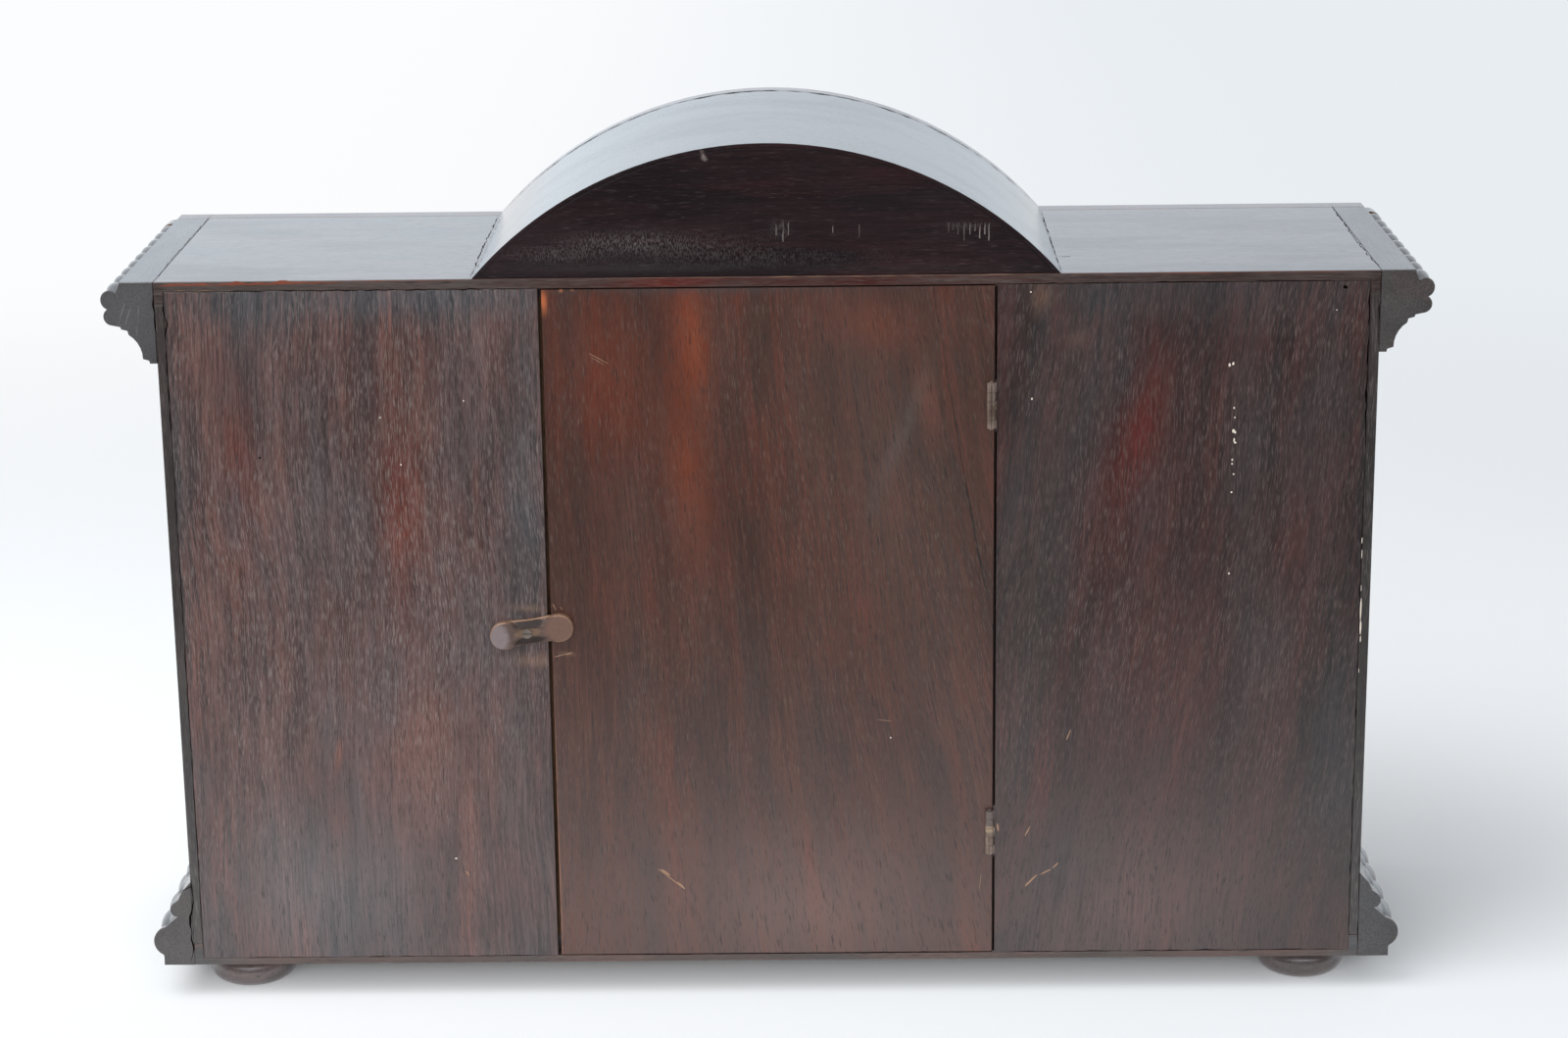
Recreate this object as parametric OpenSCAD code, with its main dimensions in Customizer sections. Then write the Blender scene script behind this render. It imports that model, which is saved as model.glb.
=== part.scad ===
// Wooden table clock with a stepped case, a bowed crest and a door in the back.
// Front is -Y, back is +Y, up is +Z. Right and left are as seen from the front.
// The origin is on the ground, under the middle of the whole clock.

/* [Case] */
// Width over the outer faces of the side boards
case_w = 520; // [480:5:560]
// Height of the case without its feet and crest
case_h = 312; // [306:1:330]
// Depth from the back face to the front face of the facade
case_d = 153; // [150:1:170]
// Thickness of the case boards
board_t = 10; // [9:0.5:11]
// Thickness of the facade
front_t = 10; // [9:0.5:11]
// Depth to which the facade is cut back inside its border
front_relief = 4; // [2:0.5:5]
// Width of the border along the crest
border_w = 22; // [18:1:26]
// Thickness of the back panels and of the back door
back_t = 8; // [8:0.5:9]
// Edge of the side boards left showing beside the back panels
side_lip = 4.2; // [3:0.1:5]
// Edge of the top board left showing over the back panels
top_lip = 4.5; // [3:0.1:5]
// Edge of the bottom board left showing under the back panels
bottom_lip = 3.2; // [3:0.1:5]

/* [Crest] */
// Half the width of the crest where it meets the flat top
crest_half = 124.8; // [115:0.2:135]
// Rise of the crest over the flat top
crest_rise = 56.7; // [50:0.1:65]
// Thickness of the bent sheet over the crest
crest_skin = 2; // [1.5:0.5:3]

/* [Mouldings] */
// Height of the cornice on each side
cornice_h = 35.5; // [34:0.5:38]
// Height of the base moulding on each side
base_h = 39.6; // [38:0.5:42]

/* [Feet] */
// Height of the bun feet
foot_h = 16; // [14:0.5:20]
// Greatest diameter of the bun feet
foot_d = 40; // [36:1:44]
// Distance of the feet from the sides, at their centres
foot_side_inset = 22; // [20.5:0.5:28]
// Distance of the feet from the back and the front, at their centres
foot_inset = 27; // [20.5:0.5:32]

/* [Back door] */
// Half the width of the opening between the fixed back panels
opening_half = 97; // [90:1:105]
// Gap beside the free edge of the door
latch_gap = 1.6; // [0.6:0.1:2.5]
// Gap over and under the door
door_gap = 0.5; // [0.3:0.1:1]
// Height of each hinge
hinge_h = 20; // [18:1:24]
// Height of the lower hinge's middle over the underside of the case
hinge_low_inset = 61; // [50:1:70]
// Distance of the upper hinge's middle from the top of the case
hinge_high_inset = 57; // [50:1:70]
// Outer radius of the hinge knuckles
knuckle_r = 1.85; // [1.8:0.05:2.1]
// Radius of the hinge pins
hinge_pin_r = 0.8; // [0.7:0.05:0.9]

/* [Turn button] */
// Height of the button's pivot over the underside of the case
button_z = 155.6; // [120:0.2:190]
// Distance of the button's pivot from the middle of the clock
button_x = 105.8; // [105:0.2:110]
// Length from the pivot to the tip over the door
button_reach = 20.2; // [18:0.2:22]
// Length from the pivot to the other tip
button_tail = 16.4; // [15:0.2:20]
// Slant of the closed button, its door end up
button_slant = 8; // [-12:0.5:12]

/* [Dial and bezel] */
// Height of the dial's centre over the underside of the case
dial_z = 199; // [195:1:203]
// Radius of the dial
dial_r = 92; // [90:0.5:93]
// Outer radius of the glazed bezel
bezel_r = 97.5; // [97:0.25:98.5]
// Radius of the hole through the facade behind the dial
facade_hole_r = 60; // [58:0.5:61]

/* [Movement] */
// Thickness of the movement's plates
plate_t = 2; // [1.8:0.1:2.2]
// Distance between the inner faces of the plates
plate_gap = 36; // [35:0.5:38]
// Distance from the back of the facade to the front plate
movement_gap = 8; // [7.5:0.5:9]
// Height of the dial's centre above the barrel's arbor
barrel_drop = 53; // [52.5:0.1:53.5]

/* [Pendulum] */
// Length of the pendulum, from the flexing point to the middle of the bob
pendulum_l = 172.5; // [165:0.5:178]
// Radius of the bob
bob_r = 24; // [20:0.5:26]
// Thickness of the bob
bob_t = 12; // [10:0.5:14]

/* [Hands] */
// Length of the minute hand from its centre
minute_l = 76; // [70:1:80]
// Length of the hour hand from its centre
hour_l = 50; // [45:1:55]
// Minutes shown past the hour
shown_minutes = 9; // [0:1:59]
// Hour shown
shown_hour = 10; // [0:1:11]

/* [Hidden] */
$fn = 48;

half_w = case_w / 2;
crest_r = (crest_half * crest_half + crest_rise * crest_rise) / (2 * crest_rise);
crest_z = case_h + crest_rise - crest_r;
bezel_out = 16;
front_out = bezel_out - front_relief;
back_out = 4.4;
case_back_y = (case_d + front_out + back_out) / 2 - back_out;
panel_back_y = -back_t;
facade_y = -case_d;
facade_back_y = -case_d + front_t;
dial_y = facade_y + front_relief;
fit_gap = 0.05;
post_w = 18;
post_d = 12;
post_outer = 106;

// Height of each moulding over the height that its edge is drawn at
cornice_scale = cornice_h / 35.5;
base_scale = base_h / 39.6;

// Doors, leaves and knuckles of the back door
hinge_x = -opening_half + 1.6;
hinge_y = 1.2;
leaf_t = 0.8;
leaf_screw_y = -4.2;
leaf_screw_rise = hinge_h * 0.28;
leaf_screw_r = 0.78;
leaf_head_r = 1.3;
screw_hole_r = 0.8;
frame_leaf_x = -opening_half - 0.7;
door_leaf_x = -opening_half + 0.4;
knuckle_count = 5;
knuckle_gap = 0.1;
hinge_heights = [hinge_low_inset, case_h - hinge_high_inset];

// Levels in the movement, as distances behind the back of the facade
front_plate_y = facade_back_y + movement_gap;
inner_y = front_plate_y + plate_t;
back_plate_y = inner_y + plate_gap;
cock_y = back_plate_y + plate_t;
plate_half = 46;
back_plate_half = 34;
plate_top = 60;
plate_low = -barrel_drop - 35;

// Wheels and pinions: teeth and module of each pair
great_teeth = 72;
second_leaves = 12;
great_module = 0.8;
second_teeth = 60;
centre_leaves = 10;
second_module = 0.65;
centre_teeth = 72;
third_leaves = 6;
centre_module = 0.55;
third_teeth = 60;
escape_leaves = 6;
third_module = 0.5;
escape_teeth = 36;
cannon_leaves = 12;
minute_teeth = 36;
minute_module = 0.75;
minute_leaves = 10;
hour_teeth = 40;
hour_module = 0.72;

// Centres of the arbors, sideways and up from the middle of the dial
great_span = great_module * (great_teeth + second_leaves) / 2;
second_span = second_module * (second_teeth + centre_leaves) / 2;
third_span = centre_module * (centre_teeth + third_leaves) / 2;
escape_span = third_module * (third_teeth + escape_leaves) / 2;
minute_span = minute_module * (cannon_leaves + minute_teeth) / 2;
barrel_at = [0, -barrel_drop];
centre_at = [0, 0];
second_turn = acos((second_span * second_span + barrel_drop * barrel_drop - great_span * great_span)
    / (2 * second_span * barrel_drop));
second_at = second_span * [-sin(second_turn), -cos(second_turn)];
third_angle = 60;
third_at = third_span * [cos(third_angle), sin(third_angle)];
escape_at = [0, third_at[1] + sqrt(escape_span * escape_span - third_at[0] * third_at[0])];
escape_r = 13.5;
pallet_angle = 47.5;
anchor_at = [0, escape_at[1] + escape_r / cos(pallet_angle)];
minute_at = [minute_span, 0];
pendulum_y = cock_y + 17;
pallet_lift = 0.85;

function to_angle(a, b) = atan2(b[1] - a[1], b[0] - a[0]);
function arc_points(c, r, from, to, steps) =
    [for (i = [0:steps]) let (a = from + (to - from) * i / steps) [c[0] + r * cos(a), c[1] + r * sin(a)]];
function polar(r, a) = [r * cos(a), r * sin(a)];

// Outline of a toothed wheel: four points a tooth, the first tooth pointing along angle zero
function tooth_points(teeth, module_mm, tip, root, tip_share, root_share) =
    [for (i = [0:teeth - 1])
        for (p = [[-root_share, -root], [-tip_share, tip], [tip_share, tip], [root_share, -root]])
        polar(teeth * module_mm / 2 + p[1] * module_mm, (i + p[0]) * 360 / teeth)];

// Outline of a ratchet or escape wheel: each tooth has a steep and a sloping side
function ratchet_points(teeth, outer, inner, lean) =
    [for (i = [0:teeth - 1]) for (p = [[0, inner], [lean, outer], [lean + 0.1, outer]])
        polar(p[1], (i + p[0]) * 360 / teeth)];

module in_case() {
    translate([0, case_back_y, foot_h]) children();
}

module at_dial() {
    in_case() translate([0, 0, dial_z]) children();
}

// A flat shape drawn across and up, made solid from front_side to back_side
module slab(front_side, back_side) {
    translate([0, back_side, 0]) rotate([90, 0, 0]) linear_extrude(back_side - front_side) children();
}

// A shape of revolution about a line along the depth: drawn outward and forward from face_y
module turned(face_y) {
    translate([0, face_y, 0]) rotate([90, 0, 0]) rotate_extrude() children();
}

module rod_along_depth(at, front_side, back_side, r) {
    slab(front_side, back_side) translate(at) circle(r);
}

module box(low, high) {
    translate(low) cube(high - low);
}

// Case boards

// Outer edge of the cornice, from the flat top downward, with the top at height zero
function cornice_edge() = [for (p = concat([[14.5, 0]],
    arc_points([17.4, -7.6], 5.3, 122, -45, 10),
    arc_points([18.7, -14.9], 3.9, 50, -80, 7),
    [[15, -19.4], [14.5, -20.5], [12, -21.1]],
    arc_points([18.2, -33], 12.1, 123, 182, 6),
    [[3.5, -34.2], [3.2, -35.5], [0, -35.5]])) [p[0], p[1] * cornice_scale]];

// Outer edge of the base moulding, from the underside upward
function base_edge() = [for (p = concat([[13.7, 0], [13.7, 4]],
    arc_points([10.4, 11.4], 7.4, -60, 75, 9),
    [[6.6, 23.3]],
    arc_points([6, 26.6], 3.65, -65, 60, 6),
    [[5.8, 31.5], [4.1, 35.1], [2.1, 37.2], [0, 39.6]])) [p[0], p[1] * base_scale]];

module facade_outline() {
    upper = cornice_edge();
    right = concat([for (p = base_edge()) [half_w + p[0], p[1]]],
        [for (i = [len(upper) - 1:-1:0]) [half_w + upper[i][0], case_h + upper[i][1]]]);
    polygon(concat(right, [for (i = [len(right) - 1:-1:0]) [-right[i][0], right[i][1]]]));
    translate([0, crest_z]) circle(crest_r, $fn = 96);
}

module top_board() {
    color("#4a2d24") in_case() difference() {
        box([-half_w, facade_back_y, case_h - board_t], [half_w, 0, case_h]);
        box([-half_w + side_lip, panel_back_y, case_h - board_t - 1],
            [half_w - side_lip, 1, case_h - top_lip]);
    }
}

module bottom_board() {
    color("#46302a") in_case() difference() {
        box([-half_w, facade_back_y, 0], [half_w, 0, board_t]);
        box([-half_w + side_lip, panel_back_y, bottom_lip], [half_w - side_lip, 1, board_t + 1]);
    }
}

module side_board() {
    color("#3f2a26") in_case() difference() {
        box([half_w - board_t, facade_back_y, board_t], [half_w, 0, case_h - board_t]);
        box([half_w - board_t - 1, panel_back_y, 0], [half_w - side_lip, 1, case_h]);
    }
}

module right_side_board() {
    side_board();
}

module left_side_board() {
    mirror([1, 0, 0]) side_board();
}

// Two sunk fields in the facade, beside the dial, each in two steps
field_in = 116;
field_out = 243;
field_low = 58;
field_high = 258;
field_deep = 3;
field_step = 5;

module front_panel() {
    color("#3d2622") in_case() difference() {
        slab(facade_y, facade_back_y) facade_outline();
        rod_along_depth([0, dial_z], facade_y - 1, facade_back_y + 1, facade_hole_r);
        slab(facade_y - 1, dial_y) {
            translate([-half_w - 1, base_h]) square([case_w + 2, case_h - cornice_h - base_h]);
            translate([0, crest_z]) circle(crest_r - border_w, $fn = 96);
        }
        for (side = [-1, 1]) for (step = [0, 1]) {
            half = (field_out - field_in) / 2 - step * field_step;
            middle = side * (field_out + field_in) / 2;
            box([middle - half, facade_y - 1, field_low + step * field_step],
                [middle + half, dial_y + (step + 1) * field_deep / 2, field_high - step * field_step]);
        }
        dial_screw_places() rod_along_depth([0, 0], dial_y - 1, dial_y + 5, 0.9);
        post_places() rod_along_depth([0, dial_z], facade_back_y - 5, facade_back_y + 1, 1.7);
    }
}

module over_top() {
    intersection() {
        children();
        translate([-half_w, case_h]) square([case_w, crest_rise + 1]);
    }
}

module arch_skin() {
    color("#5b4038") in_case() slab(facade_back_y, 0) over_top() translate([0, crest_z]) difference() {
        circle(crest_r, $fn = 96);
        circle(crest_r - crest_skin, $fn = 96);
    }
}

module arch_back() {
    color("#2b1d1f") in_case() slab(panel_back_y, 0) over_top() translate([0, crest_z])
        circle(crest_r - crest_skin, $fn = 96);
}

module back_panel(has_hinges) {
    in_case() difference() {
        box([opening_half, panel_back_y, bottom_lip], [half_w - side_lip, 0, case_h - top_lip]);
        if (has_hinges) for (z = hinge_heights) {
            box([opening_half - 1, panel_back_y - 1, z - hinge_h / 2],
                [opening_half + 0.7, 1, z + hinge_h / 2]);
            for (end = [-1, 1]) translate([opening_half - 1, leaf_screw_y, z + end * leaf_screw_rise])
                rotate([0, 90, 0]) cylinder(h = 10, r = screw_hole_r);
        }
        if (!has_hinges) rod_along_depth([button_x, button_z], panel_back_y + 1, 1, 1.3);
    }
}

module right_back_panel() {
    color("#45312f") back_panel(false);
}

module left_back_panel() {
    color("#4a312d") mirror([1, 0, 0]) back_panel(true);
}

module door_post() {
    color("#5e4636") in_case()
        box([post_outer - post_w, panel_back_y - post_d, board_t],
            [post_outer, panel_back_y, case_h - board_t]);
}

module right_door_post() {
    door_post();
}

module left_door_post() {
    mirror([1, 0, 0]) door_post();
}

module cornice() {
    color("#35302f") in_case() slab(facade_back_y, 0) translate([half_w, case_h])
        polygon(concat([[0, 0]], cornice_edge()));
}

module right_cornice() {
    cornice();
}

module left_cornice() {
    mirror([1, 0, 0]) cornice();
}

module base_moulding() {
    color("#332e2d") in_case() slab(facade_back_y, 0) translate([half_w, 0])
        polygon(concat([[0, 0]], base_edge()));
}

module right_base_moulding() {
    base_moulding();
}

module left_base_moulding() {
    mirror([1, 0, 0]) base_moulding();
}

module bun_foot() {
    waist = foot_d / 2 - foot_h / 2;
    rotate_extrude() polygon(concat([[0, 0]],
        arc_points([waist, foot_h * 0.5], foot_h / 2, -90, 60, 10),
        [[foot_d * 0.42, foot_h * 0.95], [foot_d * 0.42, foot_h], [0, foot_h]]));
}

module bun_feet() {
    color("#4a3230") translate([0, case_back_y, 0])
        for (side = [-1, 1]) for (y = [-foot_inset, -case_d + foot_inset])
            translate([side * (half_w - foot_side_inset), y, 0]) bun_foot();
}

// Back door and its hinges

module back_door() {
    low_x = -opening_half + 0.3;
    color("#5a3427") in_case() difference() {
        box([low_x, panel_back_y + 0.3, bottom_lip + door_gap],
            [opening_half - latch_gap, 0, case_h - top_lip - door_gap]);
        for (z = hinge_heights) {
            box([low_x - 1, panel_back_y, z - hinge_h / 2 - 0.3],
                [door_leaf_x + leaf_t, 1, z + hinge_h / 2 + 0.3]);
            translate([hinge_x, hinge_y, z - hinge_h / 2 - 0.3])
                cylinder(h = hinge_h + 0.6, r = knuckle_r + 0.25);
            for (end = [-1, 1]) translate([door_leaf_x, leaf_screw_y, z + end * leaf_screw_rise])
                rotate([0, 90, 0]) cylinder(h = 9, r = screw_hole_r);
        }
    }
}

module knuckles(first, r_bore) {
    length = hinge_h / knuckle_count;
    for (i = [first:2:knuckle_count - 1])
        translate([hinge_x, hinge_y, -hinge_h / 2 + i * length + knuckle_gap]) difference() {
            union() {
                cylinder(h = length - 2 * knuckle_gap, r = knuckle_r);
                children();
            }
            translate([0, 0, -1]) cylinder(h = length + 2, r = r_bore);
        }
}

// Flap that joins a knuckle to its leaf: from the leaf's face to the middle of the knuckle's wall
module flap(low_x, high_x, low_y) {
    length = hinge_h / knuckle_count - 2 * knuckle_gap;
    box([low_x - hinge_x, low_y - hinge_y, 0], [high_x - hinge_x, 0, length]);
}

module leaf_screw_holes(x, r) {
    for (end = [-1, 1]) translate([x, leaf_screw_y, end * leaf_screw_rise])
        rotate([0, 90, 0]) cylinder(h = leaf_t + 2, r = r);
}

module hinge_frame_leaves() {
    color("#6b5a52") in_case() for (z = hinge_heights) translate([0, 0, z]) {
        difference() {
            box([frame_leaf_x, -7.5, -hinge_h / 2], [frame_leaf_x + leaf_t, -0.75, hinge_h / 2]);
            leaf_screw_holes(frame_leaf_x - 1, leaf_head_r + fit_gap);
        }
        knuckles(0, hinge_pin_r + 0.02) flap(frame_leaf_x, frame_leaf_x + leaf_t, -0.75);
    }
}

module hinge_door_leaves() {
    color("#65554d") in_case() for (z = hinge_heights) translate([0, 0, z]) {
        difference() {
            box([door_leaf_x, -7.3, -hinge_h / 2], [door_leaf_x + leaf_t, -1, hinge_h / 2]);
            leaf_screw_holes(door_leaf_x - 1, leaf_head_r + fit_gap);
        }
        knuckles(1, hinge_pin_r + fit_gap) flap(door_leaf_x, door_leaf_x + leaf_t, -1);
    }
}

module hinge_pins() {
    color("#7a675a") in_case() for (z = hinge_heights) translate([hinge_x, hinge_y, z - hinge_h / 2 - 0.6])
        cylinder(h = hinge_h + 1.2, r = hinge_pin_r);
}

module leaf_screws(leaf_x, way) {
    for (z = hinge_heights) for (end = [-1, 1])
        translate([leaf_x, leaf_screw_y, z + end * leaf_screw_rise]) rotate([0, way * 90, 0]) {
            cylinder(h = leaf_t, r = leaf_head_r);
            cylinder(h = 7.5, r = leaf_screw_r);
        }
}

module hinge_frame_screws() {
    color("#5c5048") in_case() leaf_screws(frame_leaf_x + leaf_t, -1);
}

module hinge_door_screws() {
    color("#5c5048") in_case() leaf_screws(door_leaf_x, 1);
}

// Turn button: a thin bar with a thick round lobe at each end and a ridge between them

lobe_r = 6.1;
button_low = 0.3;
button_t = 3.1;
bar_t = 1.3;
bar_half = 5.4;
ridge_half = 2.6;
button_boss_r = 3.6;
button_bore_r = 1.4;
button_screw_r = 1.25;
button_head_r = 2.1;

module button_places() {
    in_case() translate([button_x, 0, button_z]) rotate([0, button_slant, 0]) children();
}

module turn_button() {
    from = -button_reach + lobe_r;
    to = button_tail - lobe_r;
    color("#6b5a50") button_places() difference() {
        union() {
            slab(button_low, button_low + bar_t) translate([from, -bar_half]) square([to - from, 2 * bar_half]);
            slab(button_low, button_low + button_t) {
                translate([from, 0]) circle(lobe_r);
                translate([to, 0]) circle(lobe_r);
                translate([from, -ridge_half]) square([to - from, 2 * ridge_half]);
            }
            rod_along_depth([0, 0], 0, button_low, button_boss_r);
        }
        rod_along_depth([0, 0], -1, button_low + button_t + 1, button_bore_r);
    }
}

module turn_button_screw() {
    color("#54463e") in_case() translate([button_x, 0, button_z]) difference() {
        union() {
            rod_along_depth([0, 0], panel_back_y + 1.2, button_low + button_t + 0.05, button_screw_r);
            rod_along_depth([0, 0], button_low + button_t + 0.05, back_out, button_head_r);
        }
        box([-button_head_r - 1, back_out - 0.6, -0.3], [button_head_r + 1, back_out + 1, 0.3]);
    }
}

// Dial, bezel and hands, as distances in front of the sunk middle of the facade
dial_t = 1.2;
dial_hole_r = 3.7;
winding_hole_r = 4.2;
seat_t = 4.5;
bezel_low = 4.8;
glass_low = 10.3;
glass_t = 2;
glass_r = 91.3;
pivot_x = 100.5;
pivot_y = dial_y - 3;
pivot_r = 2;
pivot_pin_r = 0.9;

module dial_screw_places() {
    for (a = [45:90:315]) translate([(dial_r - 4) * cos(a), 0, dial_z + (dial_r - 4) * sin(a)]) children();
}

module dial_plate() {
    color("#e8e2d0") in_case() difference() {
        rod_along_depth([0, dial_z], dial_y - dial_t, dial_y, dial_r);
        rod_along_depth([0, dial_z], dial_y - 5, dial_y + 1, dial_hole_r);
        rod_along_depth([0, dial_z] + barrel_at, dial_y - 5, dial_y + 1, winding_hole_r);
        dial_screw_places() rod_along_depth([0, 0], dial_y - 5, dial_y + 1, 0.95);
    }
}

module dial_screws() {
    color("#b08d4a") in_case() dial_screw_places() {
        rod_along_depth([0, 0], dial_y - dial_t - 0.8, dial_y - dial_t, 2);
        rod_along_depth([0, 0], dial_y - dial_t, dial_y + 4.5, 0.88);
    }
}

module bezel_seat() {
    color("#a5803f") at_dial() {
        turned(dial_y) translate([dial_r + 0.2, 0]) square([bezel_r - dial_r - 0.7, seat_t]);
        for (side = [-1, 1]) difference() {
            union() {
                translate([pivot_x, pivot_y, side * 5.7 - 2.5]) cylinder(h = 5, r = pivot_r);
                box([dial_r + 4, pivot_y - 1.2, side * 5.7 - 2.5],
                    [pivot_x, pivot_y + 1.2, side * 5.7 + 2.5]);
            }
            translate([pivot_x, pivot_y, side * 5.7 - 3]) cylinder(h = 6, r = pivot_pin_r + 0.02);
        }
    }
}

module bezel_ring() {
    inner = 88.5;
    seat = 91.5;
    color("#b48c45") at_dial() {
        turned(dial_y) polygon(concat([[seat, bezel_low], [bezel_r, bezel_low]],
            arc_points([bezel_r - 6, bezel_low + 4.7], 6, 0, 90, 6),
            [[inner + 1, bezel_out - 1], [inner, bezel_out - 2],
            [inner, glass_low + glass_t], [seat, glass_low + glass_t]]));
        turned(dial_y) polygon([[inner + 1, bezel_out - 1], [inner + 1.5, bezel_out],
            [bezel_r - 5.5, bezel_out], [bezel_r - 5, bezel_low + 10], [inner + 3, bezel_low + 10]]);
        difference() {
            union() {
                translate([pivot_x, pivot_y, -3]) cylinder(h = 6, r = pivot_r);
                box([bezel_r - 0.6, dial_y - bezel_low - 3, -3], [pivot_x, dial_y - bezel_low, 3]);
                box([bezel_r - 0.1, dial_y - bezel_low - 1, -3], [pivot_x, pivot_y, 3]);
            }
            translate([pivot_x, pivot_y, -4]) cylinder(h = 8, r = pivot_pin_r + fit_gap);
        }
    }
}

module bezel_glass() {
    color("#cfd8dc", 0.4) at_dial()
        rod_along_depth([0, 0], dial_y - glass_low - glass_t, dial_y - glass_low, glass_r);
}

module bezel_hinge_pin() {
    color("#8f7038") at_dial() translate([pivot_x, pivot_y, -8.8]) cylinder(h = 17.6, r = pivot_pin_r);
}

// Motion work: cannon pinion and hands turn together, then the minute wheel, then the hour wheel
arbor_tip_y = dial_y - 6.8;
cannon_tip_y = dial_y - 7.6;
hour_tip_y = dial_y - 4.9;
cannon_low_y = front_plate_y - 1.2;
pipe_r = 2.4;
hour_pipe_r = 3.2;
centre_pin_r = 1.5;
stud_r = 1.4;
minute_turn = 6 * shown_minutes;
hour_turn = 30 * (shown_hour + shown_minutes / 60);

module pinion(teeth, module_mm, front_side, back_side, phase) {
    slab(front_side, back_side) rotate(phase)
        polygon(tooth_points(teeth, module_mm, 0.6, 1.05, 0.1, 0.24));
}

// A spoked wheel; the teeth stand on a rim and the spokes run out from a hub
module wheel_plate(teeth, module_mm, phase, spokes, hub) {
    rim = teeth * module_mm / 2 - 1.25 * module_mm - 1.6;
    difference() {
        rotate(phase) polygon(tooth_points(teeth, module_mm, 0.9, 1.1, 0.08, 0.26));
        if (spokes > 0) difference() {
            circle(rim);
            circle(hub);
            for (i = [0:spokes - 1])
                rotate(phase + i * 360 / spokes) translate([0, -0.9]) square([rim + 1, 1.8]);
        }
    }
}

module cannon_pinion() {
    color("#c9a85a") at_dial() difference() {
        union() {
            pinion(cannon_leaves, minute_module, front_plate_y - 4.3, cannon_low_y, 0);
            rod_along_depth(centre_at, cannon_tip_y, cannon_low_y, pipe_r);
        }
        rod_along_depth(centre_at, cannon_tip_y - 1, cannon_low_y + 1, centre_pin_r + fit_gap);
    }
}

module minute_wheel() {
    color("#caa552") at_dial() difference() {
        union() {
            slab(front_plate_y - 3.6, front_plate_y - 2.2) translate(minute_at)
                wheel_plate(minute_teeth, minute_module, 180 + 180 / minute_teeth, 4, 4.9);
            translate([minute_at[0], 0, minute_at[1]])
                pinion(minute_leaves, hour_module, front_plate_y - 8.6, front_plate_y - 3.6,
                    180 + 180 / minute_leaves);
        }
        rod_along_depth(minute_at, front_plate_y - 20, front_plate_y, stud_r + fit_gap);
    }
}

module hour_wheel() {
    color("#cda957") at_dial() difference() {
        union() {
            slab(front_plate_y - 8, front_plate_y - 6.6) wheel_plate(hour_teeth, hour_module, 0, 5, 5);
            rod_along_depth(centre_at, hour_tip_y, front_plate_y - 5.6, hour_pipe_r);
        }
        rod_along_depth(centre_at, hour_tip_y - 1, front_plate_y, pipe_r + fit_gap);
    }
}

module hour_hand() {
    color("#23252b") at_dial() rotate([0, hour_turn, 0]) slab(dial_y - 4.6, dial_y - 3.8) difference() {
        union() {
            circle(6);
            polygon([[-1.7, 0], [1.7, 0], [1.2, 29], [-1.2, 29]]);
            translate([0, 33]) circle(6.5);
            polygon([[-3.4, 38], [3.4, 38], [0, hour_l]]);
        }
        circle(hour_pipe_r + 0.02);
        translate([0, 33]) circle(3.4);
    }
}

module minute_hand() {
    color("#23252b") at_dial() rotate([0, minute_turn, 0]) slab(dial_y - 6.9, dial_y - 6.1) difference() {
        union() {
            circle(4.8);
            polygon([[-2.4, -14], [2.4, -14], [1.5, 0], [1.1, 52], [-1.1, 52], [-1.5, 0]]);
            translate([0, 55]) circle(4.6);
            polygon([[-2.4, 58], [2.4, 58], [0, minute_l]]);
        }
        circle(pipe_r + 0.02);
        translate([0, 55]) circle(2.3);
    }
}

module hand_nut() {
    color("#b08d4a") at_dial() difference() {
        turned(dial_y - 6.95) polygon([[0, 0], [3.5, 0], [3.5, 1], [2.6, 2.1], [0, 2.4]]);
        rod_along_depth(centre_at, cannon_tip_y - 0.1, dial_y, pipe_r + 0.02);
    }
}

// Movement

pivot_play = 0.05;
thin_pivot_r = 0.8;
barrel_pivot_r = 2.5;
pillar_spots = [[-29, 54], [29, 54], [-29, plate_low + 5], [29, plate_low + 5]];
post_spots = [[-41, 54], [41, 54], [-41, plate_low + 5], [41, plate_low + 5]];
cock_spots = [[-13, anchor_at[1]], [13, anchor_at[1]]];
click_at = barrel_at + [21, 9];

module post_places() {
    for (p = post_spots) translate([p[0], 0, p[1]]) children();
}

module plate_bores(front_side, back_side) {
    rod_along_depth(barrel_at, front_side, back_side, barrel_pivot_r + pivot_play);
    for (p = [second_at, third_at, escape_at])
        rod_along_depth(p, front_side, back_side, thin_pivot_r + pivot_play);
}

module front_plate() {
    color("#c6a457") at_dial() {
        difference() {
            slab(front_plate_y, inner_y) translate([-plate_half, plate_low])
                square([2 * plate_half, plate_top - plate_low]);
            plate_bores(front_plate_y - 1, inner_y + 1);
            rod_along_depth(centre_at, front_plate_y - 1, inner_y + 1, centre_pin_r + pivot_play);
            rod_along_depth(anchor_at, front_plate_y - 1, inner_y + 1, thin_pivot_r + pivot_play);
            for (p = pillar_spots) rod_along_depth(p, front_plate_y - 1, inner_y + 1, 2.02);
            for (p = post_spots) rod_along_depth(p, front_plate_y - 1, inner_y + 1, 1.8);
        }
        rod_along_depth(minute_at, front_plate_y - 9.4, front_plate_y, stud_r);
        rod_along_depth(minute_at, front_plate_y - 1.8, front_plate_y, 3);
        rod_along_depth(click_at, front_plate_y - 4, front_plate_y, 1.5);
    }
}

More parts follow.
